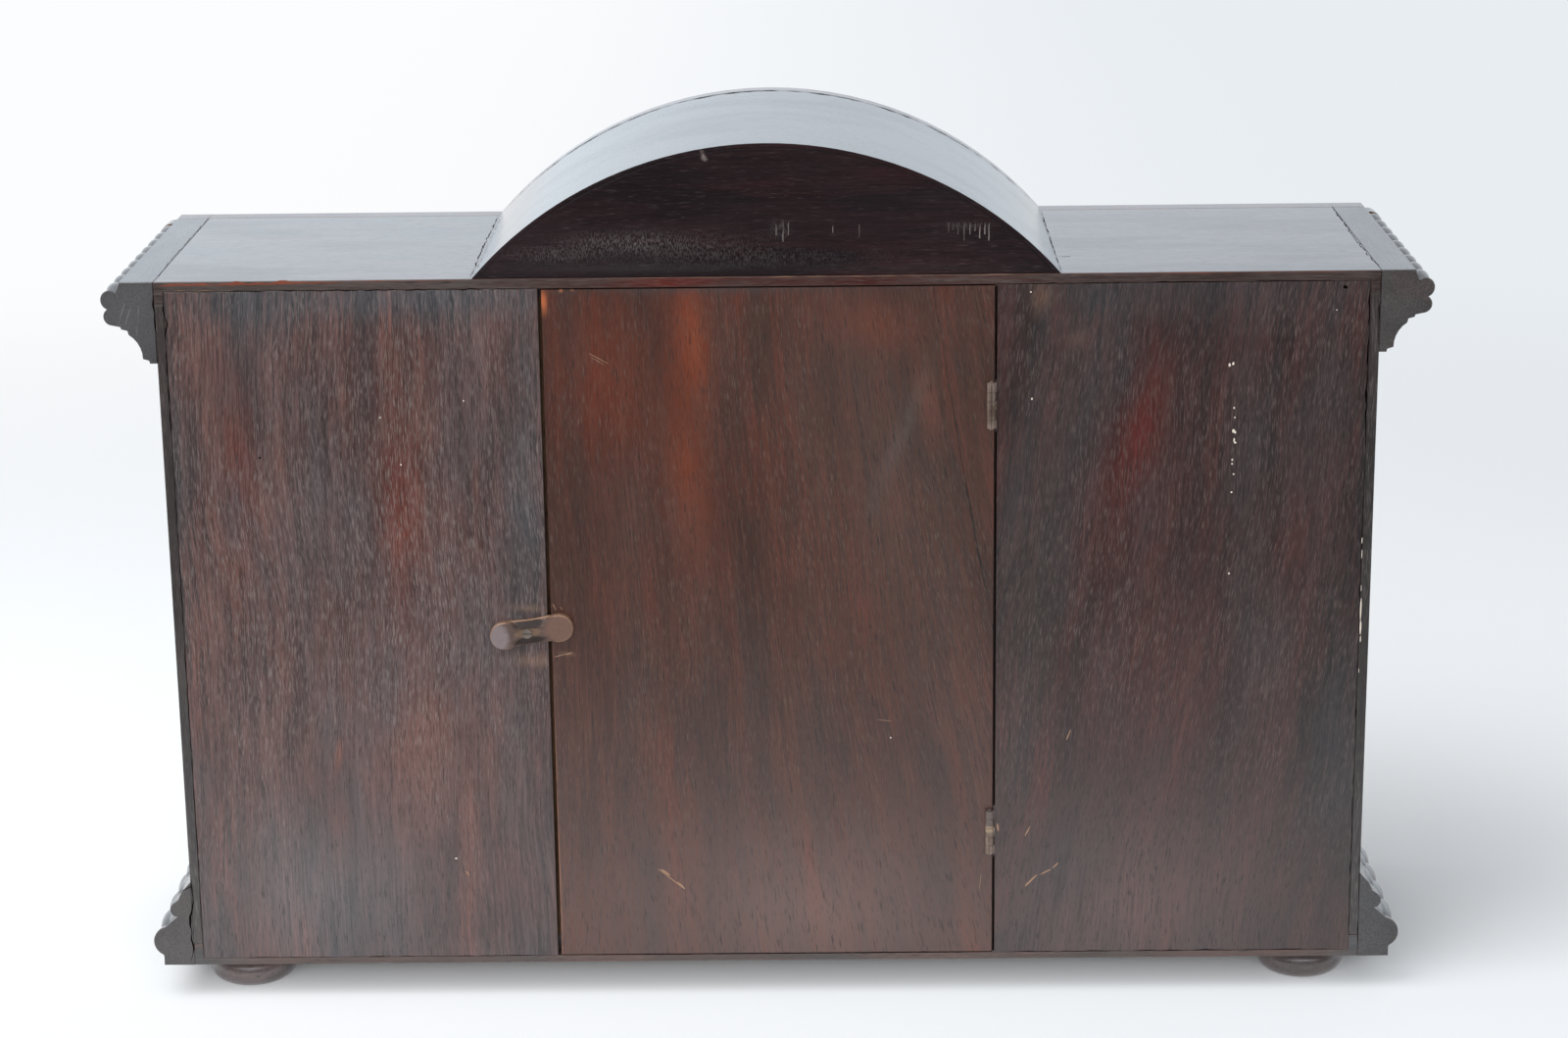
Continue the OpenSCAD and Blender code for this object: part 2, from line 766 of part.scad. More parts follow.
module back_plate() {
    color("#c6a457") at_dial() difference() {
        slab(back_plate_y, cock_y) translate([-back_plate_half, plate_low])
            square([2 * back_plate_half, plate_top - plate_low]);
        plate_bores(back_plate_y - 1, cock_y + 1);
        rod_along_depth(centre_at, back_plate_y - 1, cock_y + 1, thin_pivot_r + pivot_play);
        rod_along_depth(anchor_at, back_plate_y - 1, cock_y + 1, 4);
        for (p = pillar_spots) rod_along_depth(p, back_plate_y - 1, cock_y + 1, 1.8);
        for (p = cock_spots) rod_along_depth(p, back_plate_y - 1, cock_y + 1, 1.8);
    }
}

module plate_pillars() {
    color("#b8954c") at_dial() for (p = pillar_spots) difference() {
        union() {
            rod_along_depth(p, front_plate_y, inner_y, 2);
            translate([p[0], 0, p[1]]) turned(back_plate_y) polygon([[0, 0], [4, 0], [4, 3], [3, 5], [2.6, 9],
                [3.4, plate_gap / 2], [2.6, plate_gap - 9], [3, plate_gap - 5], [4, plate_gap - 3],
                [4, plate_gap], [0, plate_gap]]);
        }
        rod_along_depth(p, back_plate_y - 7, back_plate_y + 1, 1.5);
    }
}

module slotted_screw(at, head_y, end_y, r, head_r, head_t) {
    difference() {
        union() {
            rod_along_depth(at, end_y, head_y, r);
            rod_along_depth(at, head_y, head_y + head_t, head_r);
        }
        translate([at[0], 0, at[1]])
            box([-head_r - 1, head_y + head_t - 0.6, -0.35], [head_r + 1, head_y + head_t + 1, 0.35]);
    }
}

module plate_screws() {
    color("#4f5a68") at_dial() {
        for (p = pillar_spots) slotted_screw(p, cock_y, back_plate_y - 6, 1.48, 3.2, 2);
        for (p = cock_spots) slotted_screw(p, cock_y + 2, back_plate_y - 1.5, 1.48, 3, 2);
    }
}

module movement_posts() {
    color("#b8954c") at_dial() for (p = post_spots) difference() {
        rod_along_depth(p, facade_back_y, front_plate_y, 4.5);
        rod_along_depth(p, facade_back_y - 1, front_plate_y + 1, 1.8);
    }
}

module movement_screws() {
    color("#4f5a68") at_dial()
        for (p = post_spots) slotted_screw(p, inner_y, facade_back_y - 4.6, 1.68, 3.4, 2.2);
}

// A straight arbor between the plates with a thin pivot at each end
module arbor(at, r, pivot) {
    rod_along_depth(at, inner_y + 0.3, back_plate_y - 0.3, r);
    rod_along_depth(at, front_plate_y, cock_y, pivot);
}

drum_front = 6.4;
drum_back = 27.5;
drum_r = 25;
drum_wall = 1.4;
barrel_arbor_r = 3;

module going_barrel() {
    phase = to_angle(barrel_at, second_at);
    color("#c8a04c") at_dial() translate([barrel_at[0], 0, barrel_at[1]]) difference() {
        union() {
            slab(inner_y + 4, inner_y + drum_front) wheel_plate(great_teeth, great_module, phase, 0, 0);
            rod_along_depth([0, 0], inner_y + drum_front, inner_y + drum_back, drum_r);
        }
        rod_along_depth([0, 0], inner_y + drum_front, inner_y + drum_back + 1, drum_r - drum_wall);
        rod_along_depth([0, 0], inner_y + drum_back - 1.6, inner_y + drum_back + 1, drum_r - drum_wall / 2);
        rod_along_depth([0, 0], inner_y, inner_y + drum_front + 1, barrel_arbor_r + fit_gap);
    }
}

module barrel_cap() {
    color("#d1ac58") at_dial() translate([barrel_at[0], 0, barrel_at[1]]) difference() {
        union() {
            rod_along_depth([0, 0], inner_y + drum_back - 1.6, inner_y + drum_back - 0.1,
                drum_r - drum_wall / 2 - 0.02);
            rod_along_depth([0, 0], inner_y + drum_back - 0.1, inner_y + drum_back + 1.4, 5);
        }
        rod_along_depth([0, 0], inner_y, inner_y + drum_back + 2, barrel_arbor_r + fit_gap);
    }
}

spring_turns = 9;
spring_t = 0.5;

module mainspring() {
    steps = 20 * spring_turns;
    low = 5.2;
    high = drum_r - drum_wall - spring_t - 0.1;
    function spiral(i, offset) =
        polar(low + offset + (high - low) * i / steps, 360 * spring_turns * i / steps);
    color("#5c6470") at_dial() translate([barrel_at[0], 0, barrel_at[1]])
        slab(inner_y + drum_front + 0.6, inner_y + drum_back - 2.2)
            polygon(concat([for (i = [0:steps]) spiral(i, 0)], [for (i = [steps:-1:0]) spiral(i, spring_t)]));
}

square_half = 1.75;

module barrel_arbor() {
    color("#8d9298") at_dial() translate([barrel_at[0], 0, barrel_at[1]]) {
        rod_along_depth([0, 0], inner_y + 0.3, back_plate_y - 0.3, barrel_arbor_r);
        rod_along_depth([0, 0], front_plate_y - 5, cock_y, barrel_pivot_r);
        rod_along_depth([0, 0], inner_y + drum_front + 0.4, inner_y + drum_back - 2, 4.8);
        slab(dial_y - 3.4, front_plate_y - 5) square(2 * square_half, center = true);
    }
}

ratchet_teeth = 24;
ratchet_r = 15;

module ratchet_wheel() {
    color("#a9adb2") at_dial() translate([barrel_at[0], 0, barrel_at[1]])
        slab(front_plate_y - 3.2, front_plate_y - 1.4) difference() {
            polygon(ratchet_points(ratchet_teeth, ratchet_r, ratchet_r - 1.6, 0.85));
            circle(barrel_pivot_r + 0.02);
        }
}

// The click's nose lies just clear of the ratchet's tips
click_gap = 0.25;

module click() {
    to_wheel = to_angle(click_at, barrel_at);
    reach = norm(click_at - barrel_at) - ratchet_r - click_gap;
    color("#9aa0a6") at_dial() translate([click_at[0], 0, click_at[1]])
        slab(front_plate_y - 3.2, front_plate_y - 1.4) difference() {
            union() {
                circle(3);
                rotate(to_wheel) polygon([[0, -2.6], [reach, -1.6], [reach - 2, 1.6], [0, 2.4]]);
                rotate(to_wheel + 180) polygon([[0, -1.4], [7.5, -1], [7.5, 1], [0, 1.4]]);
            }
            circle(1.5 + fit_gap);
        }
}

module click_spring() {
    foot = [click_at[0] + 4.6, click_at[1] - 17];
    leaf_l = 18;
    color("#7f868d") at_dial() {
        slab(front_plate_y - 2.8, front_plate_y - 1.6) {
            translate(foot - [1.4, 3]) square([2.8, 6]);
            translate(foot - [-0.8, 0]) square([0.6, leaf_l]);
        }
        rod_along_depth(foot, front_plate_y - 2.8, front_plate_y, 1.8);
    }
}

module second_wheel() {
    color("#cfae5e") at_dial() {
        arbor(second_at, 1.5, thin_pivot_r);
        translate([second_at[0], 0, second_at[1]]) {
            pinion(second_leaves, great_module, inner_y + 2.4, inner_y + 8.2,
                to_angle(second_at, barrel_at) + 180 / second_leaves);
            slab(inner_y + 30.4, inner_y + 31.9)
                wheel_plate(second_teeth, second_module, to_angle(second_at, centre_at), 5, 4);
        }
    }
}

module centre_wheel() {
    color("#d2b163") at_dial() {
        arbor(centre_at, centre_pin_r, thin_pivot_r);
        rod_along_depth(centre_at, arbor_tip_y, inner_y + 0.3, centre_pin_r);
        pinion(centre_leaves, second_module, inner_y + 28.8, inner_y + 33.6,
            to_angle(centre_at, second_at) + 180 / centre_leaves);
        slab(inner_y + 9.2, inner_y + 10.6)
            wheel_plate(centre_teeth, centre_module, to_angle(centre_at, third_at), 5, 4);
    }
}

module third_wheel() {
    color("#cfae5e") at_dial() {
        arbor(third_at, 1, thin_pivot_r);
        translate([third_at[0], 0, third_at[1]]) {
            pinion(third_leaves, centre_module, inner_y + 7.4, inner_y + 12.4,
                to_angle(third_at, centre_at) + 180 / third_leaves);
            slab(inner_y + 23.6, inner_y + 24.9)
                wheel_plate(third_teeth, third_module, to_angle(third_at, escape_at), 5, 3.4);
        }
    }
}

module escape_wheel() {
    color("#d6b76c") at_dial() {
        arbor(escape_at, 0.9, thin_pivot_r);
        translate([escape_at[0], 0, escape_at[1]]) {
            pinion(escape_leaves, third_module, inner_y + 21.8, inner_y + 26.8,
                to_angle(escape_at, third_at) + 180 / escape_leaves);
            slab(inner_y + 14, inner_y + 15.2) difference() {
                polygon(ratchet_points(escape_teeth, escape_r, escape_r - 2.4, 0.7));
                difference() {
                    circle(escape_r - 4);
                    circle(3);
                    for (i = [0:4]) rotate(i * 72) translate([0, -0.7]) square([escape_r, 1.4]);
                }
            }
        }
    }
}

// Anchor: an arched body over the escape wheel, its arbor, and the crutch behind the back plate
module bar(from, to, half) {
    translate(from) rotate(to_angle(from, to)) translate([0, -half]) square([norm(to - from), 2 * half]);
    translate(from) circle(half);
    translate(to) circle(half);
}

module anchor() {
    tip_r = escape_r + pallet_lift;
    tip = [tip_r * sin(pallet_angle), tip_r * cos(pallet_angle)] - [0, anchor_at[1] - escape_at[1]];
    shoulder = [tip[0] + 1.6, tip[1] + 5.4];
    crutch_y = cock_y + 3.4;
    fork_z = -38;
    color("#8b9097") at_dial() translate([anchor_at[0], 0, anchor_at[1]]) {
        rod_along_depth([0, 0], inner_y + 0.3, cock_y + 7, 1.2);
        rod_along_depth([0, 0], front_plate_y, cock_y + 9.8, thin_pivot_r);
        slab(inner_y + 13, inner_y + 16.2) {
            circle(3.4);
            for (side = [0, 1]) mirror([side, 0]) {
                bar([0, 0.6], shoulder, 1.3);
                polygon([[shoulder[0] + 1.3, shoulder[1]], tip + [0.5, 0.45], tip + [-0.5, 0.05],
                    [shoulder[0] - 1.3, shoulder[1] - 0.6]]);
            }
        }
        slab(crutch_y, crutch_y + 1.6) {
            circle(3);
            translate([-1, fork_z]) square([2, -fork_z]);
        }
        for (side = [-1, 1])
            box([side * 2.5 - 0.9, crutch_y, fork_z - 1], [side * 2.5 + 0.9, pendulum_y + 3, fork_z + 1]);
        box([-3.4, crutch_y, fork_z - 1], [3.4, crutch_y + 1.6, fork_z + 1]);
    }
}

cock_leg = 10;
slot_half = 0.6;

module back_cock() {
    color("#c2a052") at_dial() translate([anchor_at[0], 0, anchor_at[1]]) difference() {
        union() {
            for (side = [-1, 1]) {
                box([side * 13 - 4.5, cock_y, -6], [side * 13 + 4.5, cock_y + 2, 6]);
                box([side * 8.2 - 1.2, cock_y, -6], [side * 8.2 + 1.2, cock_y + cock_leg, 6]);
            }
            box([-9.4, cock_y + cock_leg - 2, -6], [9.4, cock_y + cock_leg, 11]);
            box([-4, cock_y + cock_leg, 4.6], [4, pendulum_y + 4, 11]);
        }
        rod_along_depth([0, 0], cock_y, cock_y + cock_leg + 1, thin_pivot_r + pivot_play);
        for (p = cock_spots) rod_along_depth(p - anchor_at, cock_y - 1, cock_y + 3, 1.8);
        box([-slot_half, pendulum_y - 3.2, 4], [slot_half, pendulum_y + 3.2, 9.6]);
    }
}

module suspension_spring() {
    color("#aab2ba") at_dial() translate([anchor_at[0], pendulum_y, anchor_at[1]]) {
        box([-0.15, -2.4, -5], [0.15, 2.4, 8.6]);
        box([-1.6, -3, -10], [1.6, 3, -5]);
    }
}

rod_r = 1.3;
nut_t = 4;

module pendulum_rod() {
    low = -pendulum_l - bob_r - nut_t - 6;
    color("#a88a48") at_dial() translate([anchor_at[0], pendulum_y, anchor_at[1] + low])
        cylinder(h = -10 - low, r = rod_r);
}

module pendulum_bob() {
    dome_r = (bob_r * bob_r + bob_t * bob_t / 4 - 1) / (bob_t - 2);
    edge = asin((bob_r - 0.6) / dome_r);
    front_arc = [for (i = [0:6]) let (a = edge * (1 - i / 6))
        [dome_r * sin(a), dome_r * cos(a) - dome_r + bob_t / 2]];
    color("#b9924a") at_dial() translate([anchor_at[0], pendulum_y, anchor_at[1] - pendulum_l]) difference() {
        rotate([90, 0, 0]) rotate_extrude() polygon(concat([[0, -bob_t / 2]],
            [for (i = [6:-1:0]) [front_arc[i][0], -front_arc[i][1]]], [[bob_r, -0.6], [bob_r, 0.6]],
            [for (i = [0:5]) front_arc[i]], [[0, bob_t / 2]]));
        translate([0, 0, -bob_r - 1]) cylinder(h = 2 * bob_r + 2, r = rod_r + 0.03);
    }
}

module rating_nut() {
    color("#c3a055") at_dial()
        translate([anchor_at[0], pendulum_y, anchor_at[1] - pendulum_l - bob_r - nut_t - 0.2]) difference() {
            union() {
                cylinder(h = nut_t - 1, r = 5.5);
                cylinder(h = nut_t, r = 3);
            }
            translate([0, 0, -1]) cylinder(h = nut_t + 2, r = rod_r + 0.02);
        }
}

// The key lies on the case floor, behind the pendulum
module winding_key() {
    key_at = [40, -45, board_t];
    color("#b08f4c") in_case() translate(key_at) difference() {
        union() {
            translate([0, 0, 3.4]) rotate([0, 90, 0]) cylinder(h = 26, r = 3.4);
            translate([24, 0, 1.6]) linear_extrude(3.6) {
                translate([10, -9]) circle(9);
                translate([10, 9]) circle(9);
                translate([0, -3]) square([10, 6]);
            }
        }
        translate([-1, -1.8, 1.6]) cube([13, 3.6, 3.6]);
        for (side = [-1, 1]) translate([34, side * 9.5, 0]) cylinder(h = 9, r = 4.6);
    }
}

top_board();
bottom_board();
left_side_board();
right_side_board();
front_panel();
arch_skin();
arch_back();
left_back_panel();
right_back_panel();
left_door_post();
right_door_post();
left_cornice();
right_cornice();
left_base_moulding();
right_base_moulding();
bun_feet();
back_door();
hinge_frame_leaves();
hinge_door_leaves();
hinge_pins();
hinge_frame_screws();
hinge_door_screws();
turn_button();
turn_button_screw();
dial_plate();
dial_screws();
bezel_seat();
bezel_ring();
bezel_glass();
bezel_hinge_pin();
hour_hand();
minute_hand();
hand_nut();
cannon_pinion();
minute_wheel();
hour_wheel();
front_plate();
back_plate();
plate_pillars();
plate_screws();
movement_posts();
movement_screws();
going_barrel();
barrel_cap();
mainspring();
barrel_arbor();
ratchet_wheel();
click();
click_spring();
second_wheel();
centre_wheel();
third_wheel();
escape_wheel();
anchor();
back_cock();
suspension_spring();
pendulum_rod();
pendulum_bob();
rating_nut();
winding_key();
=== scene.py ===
# Wooden table clock with a bowed crest, seen from behind, as it stands in the photograph.
# Lengths are in metres, and in millimetres where a name ends in Mm.
import math
import random
from functools import partial

import bmesh
import bpy
from mathutils import Matrix, Vector, noise


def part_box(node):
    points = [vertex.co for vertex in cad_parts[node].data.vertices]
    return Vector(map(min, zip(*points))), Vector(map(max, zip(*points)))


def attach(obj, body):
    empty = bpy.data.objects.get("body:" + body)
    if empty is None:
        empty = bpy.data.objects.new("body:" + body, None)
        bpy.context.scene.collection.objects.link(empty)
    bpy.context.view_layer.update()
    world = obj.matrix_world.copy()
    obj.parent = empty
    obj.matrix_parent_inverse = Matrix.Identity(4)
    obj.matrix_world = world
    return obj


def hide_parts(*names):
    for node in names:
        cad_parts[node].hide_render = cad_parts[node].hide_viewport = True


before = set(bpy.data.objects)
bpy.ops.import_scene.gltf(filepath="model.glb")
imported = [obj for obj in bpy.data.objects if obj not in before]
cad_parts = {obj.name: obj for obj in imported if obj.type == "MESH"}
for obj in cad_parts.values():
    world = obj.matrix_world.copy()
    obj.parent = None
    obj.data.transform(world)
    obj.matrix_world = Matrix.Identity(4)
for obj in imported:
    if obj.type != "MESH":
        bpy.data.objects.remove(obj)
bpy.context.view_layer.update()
scene = bpy.context.scene
scene.view_settings.view_transform = "Standard"
mm = 0.001

# Levels of the case, taken from the frame
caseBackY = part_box("right_back_panel")[1].y
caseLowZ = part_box("bottom_board")[0].z
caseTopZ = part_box("top_board")[1].z
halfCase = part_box("top_board")[1].x
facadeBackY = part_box("front_panel")[1].y
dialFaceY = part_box("dial_plate")[0].y
dialCentre = (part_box("dial_plate")[0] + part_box("dial_plate")[1]) / 2


# Camera

photoView = {"place": (-0.0220, 1.5094, 0.6272), "turnDeg": (74.1414, 0.6742, -179.5646), "lensMm": 79.108}
cameraData = bpy.data.cameras.new("photoCamera")
cameraData.lens = photoView["lensMm"]
cameraData.sensor_width = 36
cameraData.clip_start = 0.05
cameraData.clip_end = 60
photoCamera = bpy.data.objects.new("photoCamera", cameraData)
photoCamera.location = photoView["place"]
photoCamera.rotation_euler = [math.radians(angle) for angle in photoView["turnDeg"]]
scene.collection.objects.link(photoCamera)
scene.camera = photoCamera
print("camera set")


def linearColor(hexText):
    channels = [int(hexText[i:i + 2], 16) / 255 for i in (1, 3, 5)]
    return tuple(c / 12.92 if c <= 0.04045 else ((c + 0.055) / 1.055) ** 2.4 for c in channels) + (1.0,)


# Adds a shader node, gives it its settings, values (a hex colour too) and links, and returns its outputs.
# A MapRange has its from range at 1 and 2, its to range at 3 and 4.
def addNode(tree, kind, links=None, values=None, **settings):
    node = tree.nodes.new("ShaderNode" + kind)
    for name, value in settings.items():
        setattr(node, name, value)
    for socket, value in (values or {}).items():
        node.inputs[socket].default_value = linearColor(value) if isinstance(value, str) else value
    for socket, source in (links or {}).items():
        tree.links.new(source, node.inputs[socket])
    return node.outputs


smooth = {"interpolation_type": "SMOOTHSTEP"}
times = {"operation": "MULTIPLY"}


# A new material, its own adder of nodes and its object coordinates
def emptyMaterial(name):
    material = bpy.data.materials.new(name)
    material.use_nodes = True
    material.node_tree.nodes.clear()
    add = partial(addNode, material.node_tree)
    return material, add, add("TexCoord")["Object"]


def vertsIn(parts):
    return [part for part in parts if isinstance(part, bmesh.types.BMVert)]


def turnFaces(bm, way):
    for face in bm.faces:
        face.normal_update()
        if face.normal.dot(way) < 0:
            face.normal_flip()


def finishPiece(bm, name, material, body, stands=(), sharpDeg=35):
    mesh = bpy.data.meshes.new(name)
    bm.to_mesh(mesh)
    bm.free()
    mesh.materials.append(material)
    mesh.shade_smooth()
    mesh.set_sharp_from_angle(angle=math.radians(sharpDeg))
    piece = bpy.data.objects.new(name, mesh)
    scene.collection.objects.link(piece)
    piece.modifiers.new("flatFaces", "WEIGHTED_NORMAL").keep_sharp = True
    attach(piece, body)
    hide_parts(*stands)


# A copy of a CAD node with its edges rounded over; the rounded faces carry the mark "edge"
def softenedCopy(node, name, radiusMm, material, body, slot, minDeg=28):
    bm = bmesh.new()
    bm.from_mesh(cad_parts[node].data)
    bmesh.ops.remove_doubles(bm, verts=bm.verts, dist=0.005 * mm)
    bmesh.ops.dissolve_limit(bm, angle_limit=math.radians(0.8), verts=bm.verts, edges=bm.edges)
    bmesh.ops.recalc_face_normals(bm, faces=bm.faces)
    edgeMark = bm.faces.layers.float.new("edge")
    sharp = [e for e in bm.edges if len(e.link_faces) == 2 and e.calc_face_angle(0) > math.radians(minDeg)]
    rounded = bmesh.ops.bevel(
        bm, geom=sharp, offset=radiusMm * mm, offset_type="OFFSET", affect="EDGES", segments=2, profile=0.5,
        material=-1, clamp_overlap=True)
    for face in rounded["faces"]:
        face[edgeMark] = 1.0
    bmesh.ops.recalc_face_normals(bm, faces=bm.faces)
    finishPiece(bm, name, material, body, [node])


arcStepDeg = 11


# Draws a flat outline in the XZ plane from a list of moves: a point in Mm, or an arc as (centre, turn in degrees)
def drawOutline(bm, start, moves, y):
    first = last = bmesh.ops.create_vert(bm, co=(start[0] * mm, y, start[1] * mm))["vert"][0]
    for move in moves:
        if len(move) == 2:
            grown = bmesh.ops.extrude_vert_indiv(bm, verts=[last])["verts"][0]
            grown.co = (move[0] * mm, y, move[1] * mm)
        else:
            cx, cz, turn = move
            steps = max(2, round(abs(turn) / arcStepDeg))
            spun = bmesh.ops.spin(bm, geom=[last], cent=(cx * mm, y, cz * mm), axis=(0, -1, 0),
                                  angle=math.radians(turn), steps=steps, use_duplicate=False)
            grown = vertsIn(spun["geom_last"])[0]
        last = grown
    return first, last


# Wood


# How much a point is inside an ellipse (x, z, halfX, halfZ in Mm, and a tilt if it has one), with a ragged rim
def patchMask(add, place, ellipse, ragged, rim=(0.1, 1.7)):
    x, z, halfX, halfZ, tiltDeg = (*ellipse, 0)[:5]
    local = add(
        "Mapping", {"Vector": place},
        {"Location": (x * mm, 0, z * mm), "Rotation": (0, math.radians(tiltDeg), 0),
         "Scale": (halfX * mm, 20, halfZ * mm)},
        vector_type="TEXTURE")
    reach = add("VectorMath", {0: local[0]}, operation="LENGTH")["Value"]
    frayed = add("Math", {0: ragged, 2: reach}, {1: 0.7}, operation="MULTIPLY_ADD")[0]
    return add("MapRange", {"Value": frayed}, {1: rim[0], 2: rim[1], 3: 1.0, 4: 0.0}, **smooth)[0]


woodBase = {
    "grain": "Z", "shift": (0, 0, 0), "sway": 0.006, "slant": (0.1, -0.1, 0.0, 0.2),
    "dark": "#35211d", "mid": "#4c2e26", "streak": "#6d3022", "streakShare": 0.52, "streakAmount": 0.6,
    "soot": "#3a3c41", "sootShare": 0.5, "sootAmount": 0.5, "contrast": 0.24,
    "pore": "#8f8680", "poreFrom": 0.55, "poreAmount": 0.42, "poreLength": 0.06, "poreFade": (-0.2, -0.1, 1.0),
    "edgeColor": "#7a4a35", "edgeAmount": 0.5,
    "roughness": 0.4, "coat": 1.0, "coatRoughness": 0.21, "specular": 0.5, "bump": 0.3, "patches": [],
    "pits": 0.0, "pitFade": (0.1, 0.3), "scuffs": [],
}


# Open-pored hardwood, stained and polished: fine lengthwise lines, short pale pores, redder streaks and soot
def woodMaterial(name, **changes):
    look = {**woodBase, **changes}
    material, add, place = emptyMaterial(name)
    axes = add("SeparateXYZ", {0: place})
    fromX, toX, lean, midZ = look["slant"]
    leaning = add("MapRange", {"Value": axes["X"]}, {1: fromX, 2: toX, 4: -lean})[0]
    above = add("Math", {0: axes["Z"]}, {1: midZ}, operation="SUBTRACT")[0]
    leaned = add("Math", {0: leaning, 1: above}, **times)[0]
    aside = add("CombineXYZ", {"X": leaned})[0]
    straight = add("VectorMath", {0: place, 1: aside}, operation="ADD")[0]
    turn = {"X": (0, math.pi / 2, 0), "Y": (math.pi / 2, 0, 0), "Z": (0, 0, 0)}[look["grain"]]
    grain = add("Mapping", {"Vector": straight}, {"Rotation": turn, "Location": look["shift"]})
    slow = add("TexNoise", {"Vector": grain[0]}, {"Scale": 9, "Detail": 2, "Roughness": 0.4})
    warped = add("VectorMath", {0: slow["Fac"], 2: grain[0]}, {1: (look["sway"], 0, 0)}, operation="MULTIPLY_ADD")[0]

    def pattern(stretch, scale, detail, low, high):
        stretched = add("Mapping", {"Vector": warped}, {"Scale": (1, 1, stretch)})
        drawn = add("TexNoise", {"Vector": stretched[0]}, {"Scale": scale, "Detail": detail, "Roughness": 0.6})
        return add("MapRange", {"Value": drawn["Fac"]}, {1: low, 2: high})[0]

    def tint(color, mask, hexText, amount):
        share = add("Math", {0: mask}, {1: amount}, **times)[0]
        return add("Mix", {0: share, 6: color}, {7: hexText}, data_type="RGBA")[2]

    tone = pattern(0.16, 70, 3, 0.36, 0.64)
    lines = pattern(0.035, 1100, 2, 0.34, 0.66)
    streaks = pattern(0.12, 60, 3, look["streakShare"], look["streakShare"] + 0.2)
    sooty = pattern(0.3, 34, 3, look["sootShare"] - 0.04, look["sootShare"] + 0.2)
    crowded = pattern(0.35, 30, 2, 0.3, 0.62)
    pores = pattern(look["poreLength"], 2700, 1, look["poreFrom"], look["poreFrom"] + 0.1)
    deepPores = pattern(look["poreLength"] * 0.8, 2400, 1, 0.62, 0.69)
    color = add("Mix", {0: tone}, {6: look["dark"], 7: look["mid"]}, data_type="RGBA")[2]
    color = tint(color, streaks, look["streak"], look["streakAmount"])
    for *ellipse, hexText, amount in look["patches"]:
        color = tint(color, patchMask(add, straight, ellipse, lines), hexText, amount)
    color = tint(color, sooty, look["soot"], look["sootAmount"])
    shade = add("MapRange", {"Value": lines}, {3: 1 - look["contrast"], 4: 1 + look["contrast"]})[0]
    color = add("VectorMath", {0: color, 1: shade}, **times)[0]
    color = tint(color, deepPores, "#120c0b", 0.7)
    lowZ, highZ, lowShare = look["poreFade"]
    risen = add("MapRange", {"Value": axes["Z"]}, {1: lowZ, 2: highZ, 3: lowShare})[0]
    dense = add("MapRange", {"Value": crowded}, {3: 0.3})[0]
    dense = add("Math", {0: dense, 1: risen}, **times)[0]
    filled = add("Math", {0: pores, 1: dense}, **times)[0]
    color = tint(color, filled, look["pore"], look["poreAmount"])
    if look["pits"]:
        fullZ, noneZ = look["pitFade"]
        sunk = add("MapRange", {"Value": axes["Z"]}, {1: noneZ, 2: fullZ, 4: look["pits"]})[0]
        pitted = add("Math", {0: pattern(0.16, 1300, 1, 0.66, 0.7), 1: sunk}, **times)
        color = tint(color, pitted[0], "#17100f", 1.0)
    if look["scuffs"]:
        upright = add("Mapping", {"Vector": place}, {"Scale": (1, 1, 0.25)})
        drawn = add("TexNoise", {"Vector": upright[0]}, {"Scale": 2600, "Detail": 2})
        ticks = add("MapRange", {"Value": drawn["Fac"]}, {1: 0.5, 2: 0.66})[0]
        for *ellipse, hexText, amount in look["scuffs"]:
            rubbed = add("Math", {0: patchMask(add, place, ellipse, ticks), 1: ticks}, **times)[0]
            color = tint(color, rubbed, hexText, amount)
    edge = add("Attribute", attribute_name="edge")["Fac"]
    worn = add("Math", {0: edge, 1: crowded}, **times)[0]
    color = tint(color, worn, look["edgeColor"], look["edgeAmount"])
    depth = add("Math", {0: pores, 1: deepPores}, operation="ADD")[0]
    relief = add("Math", {0: depth, 1: lines}, operation="SUBTRACT")[0]
    bump = add("Bump", {"Height": relief}, {"Strength": look["bump"], "Distance": 0.00008}, invert=True)
    uneven = add("Math", {0: depth, 1: sooty}, operation="ADD")[0]
    rough = add("MapRange", {"Value": uneven}, {2: 2.0, 3: look["roughness"], 4: look["roughness"] + 0.25})[0]
    shader = add(
        "BsdfPrincipled", {"Base Color": color, "Roughness": rough, "Normal": bump[0]},
        {"IOR": 1.5, "Specular IOR Level": look["specular"], "Coat Weight": look["coat"],
         "Coat Roughness": look["coatRoughness"], "Coat IOR": 1.45})
    add("OutputMaterial", {"Surface": shader[0]})
    return material


# French-polished veneer: the lacquer is smooth and mirrors the bright room at a low angle
polish = {"roughness": 0.3, "coat": 1.0, "coatRoughness": 0.14, "specular": 0.6, "bump": 0.06, "poreAmount": 0.12,
          "streakAmount": 0.3, "sootAmount": 0.3, "contrast": 0.16}
topVeneer = woodMaterial(
    "polishedVeneerTop", grain="X", shift=(0.3, 0.1, 0), dark="#2b1d1b", mid="#3d2a27", streak="#5a2e22",
    edgeColor="#5d3024", edgeAmount=0.4, **polish)
crestVeneer = woodMaterial(
    "polishedVeneerCrest", grain="X", shift=(0.7, 0.4, 0), dark="#191213", mid="#2a1d1c", streak="#3a211c",
    edgeColor="#1d1514", edgeAmount=0.6, **polish)
frontVeneer = woodMaterial(
    "polishedVeneerFront", grain="X", shift=(0.1, 0.9, 0.2), dark="#33150d", mid="#562715", edgeColor="#6b3a24",
    edgeAmount=0.4, **{**polish, "sootAmount": 0.1, "contrast": 0.3})
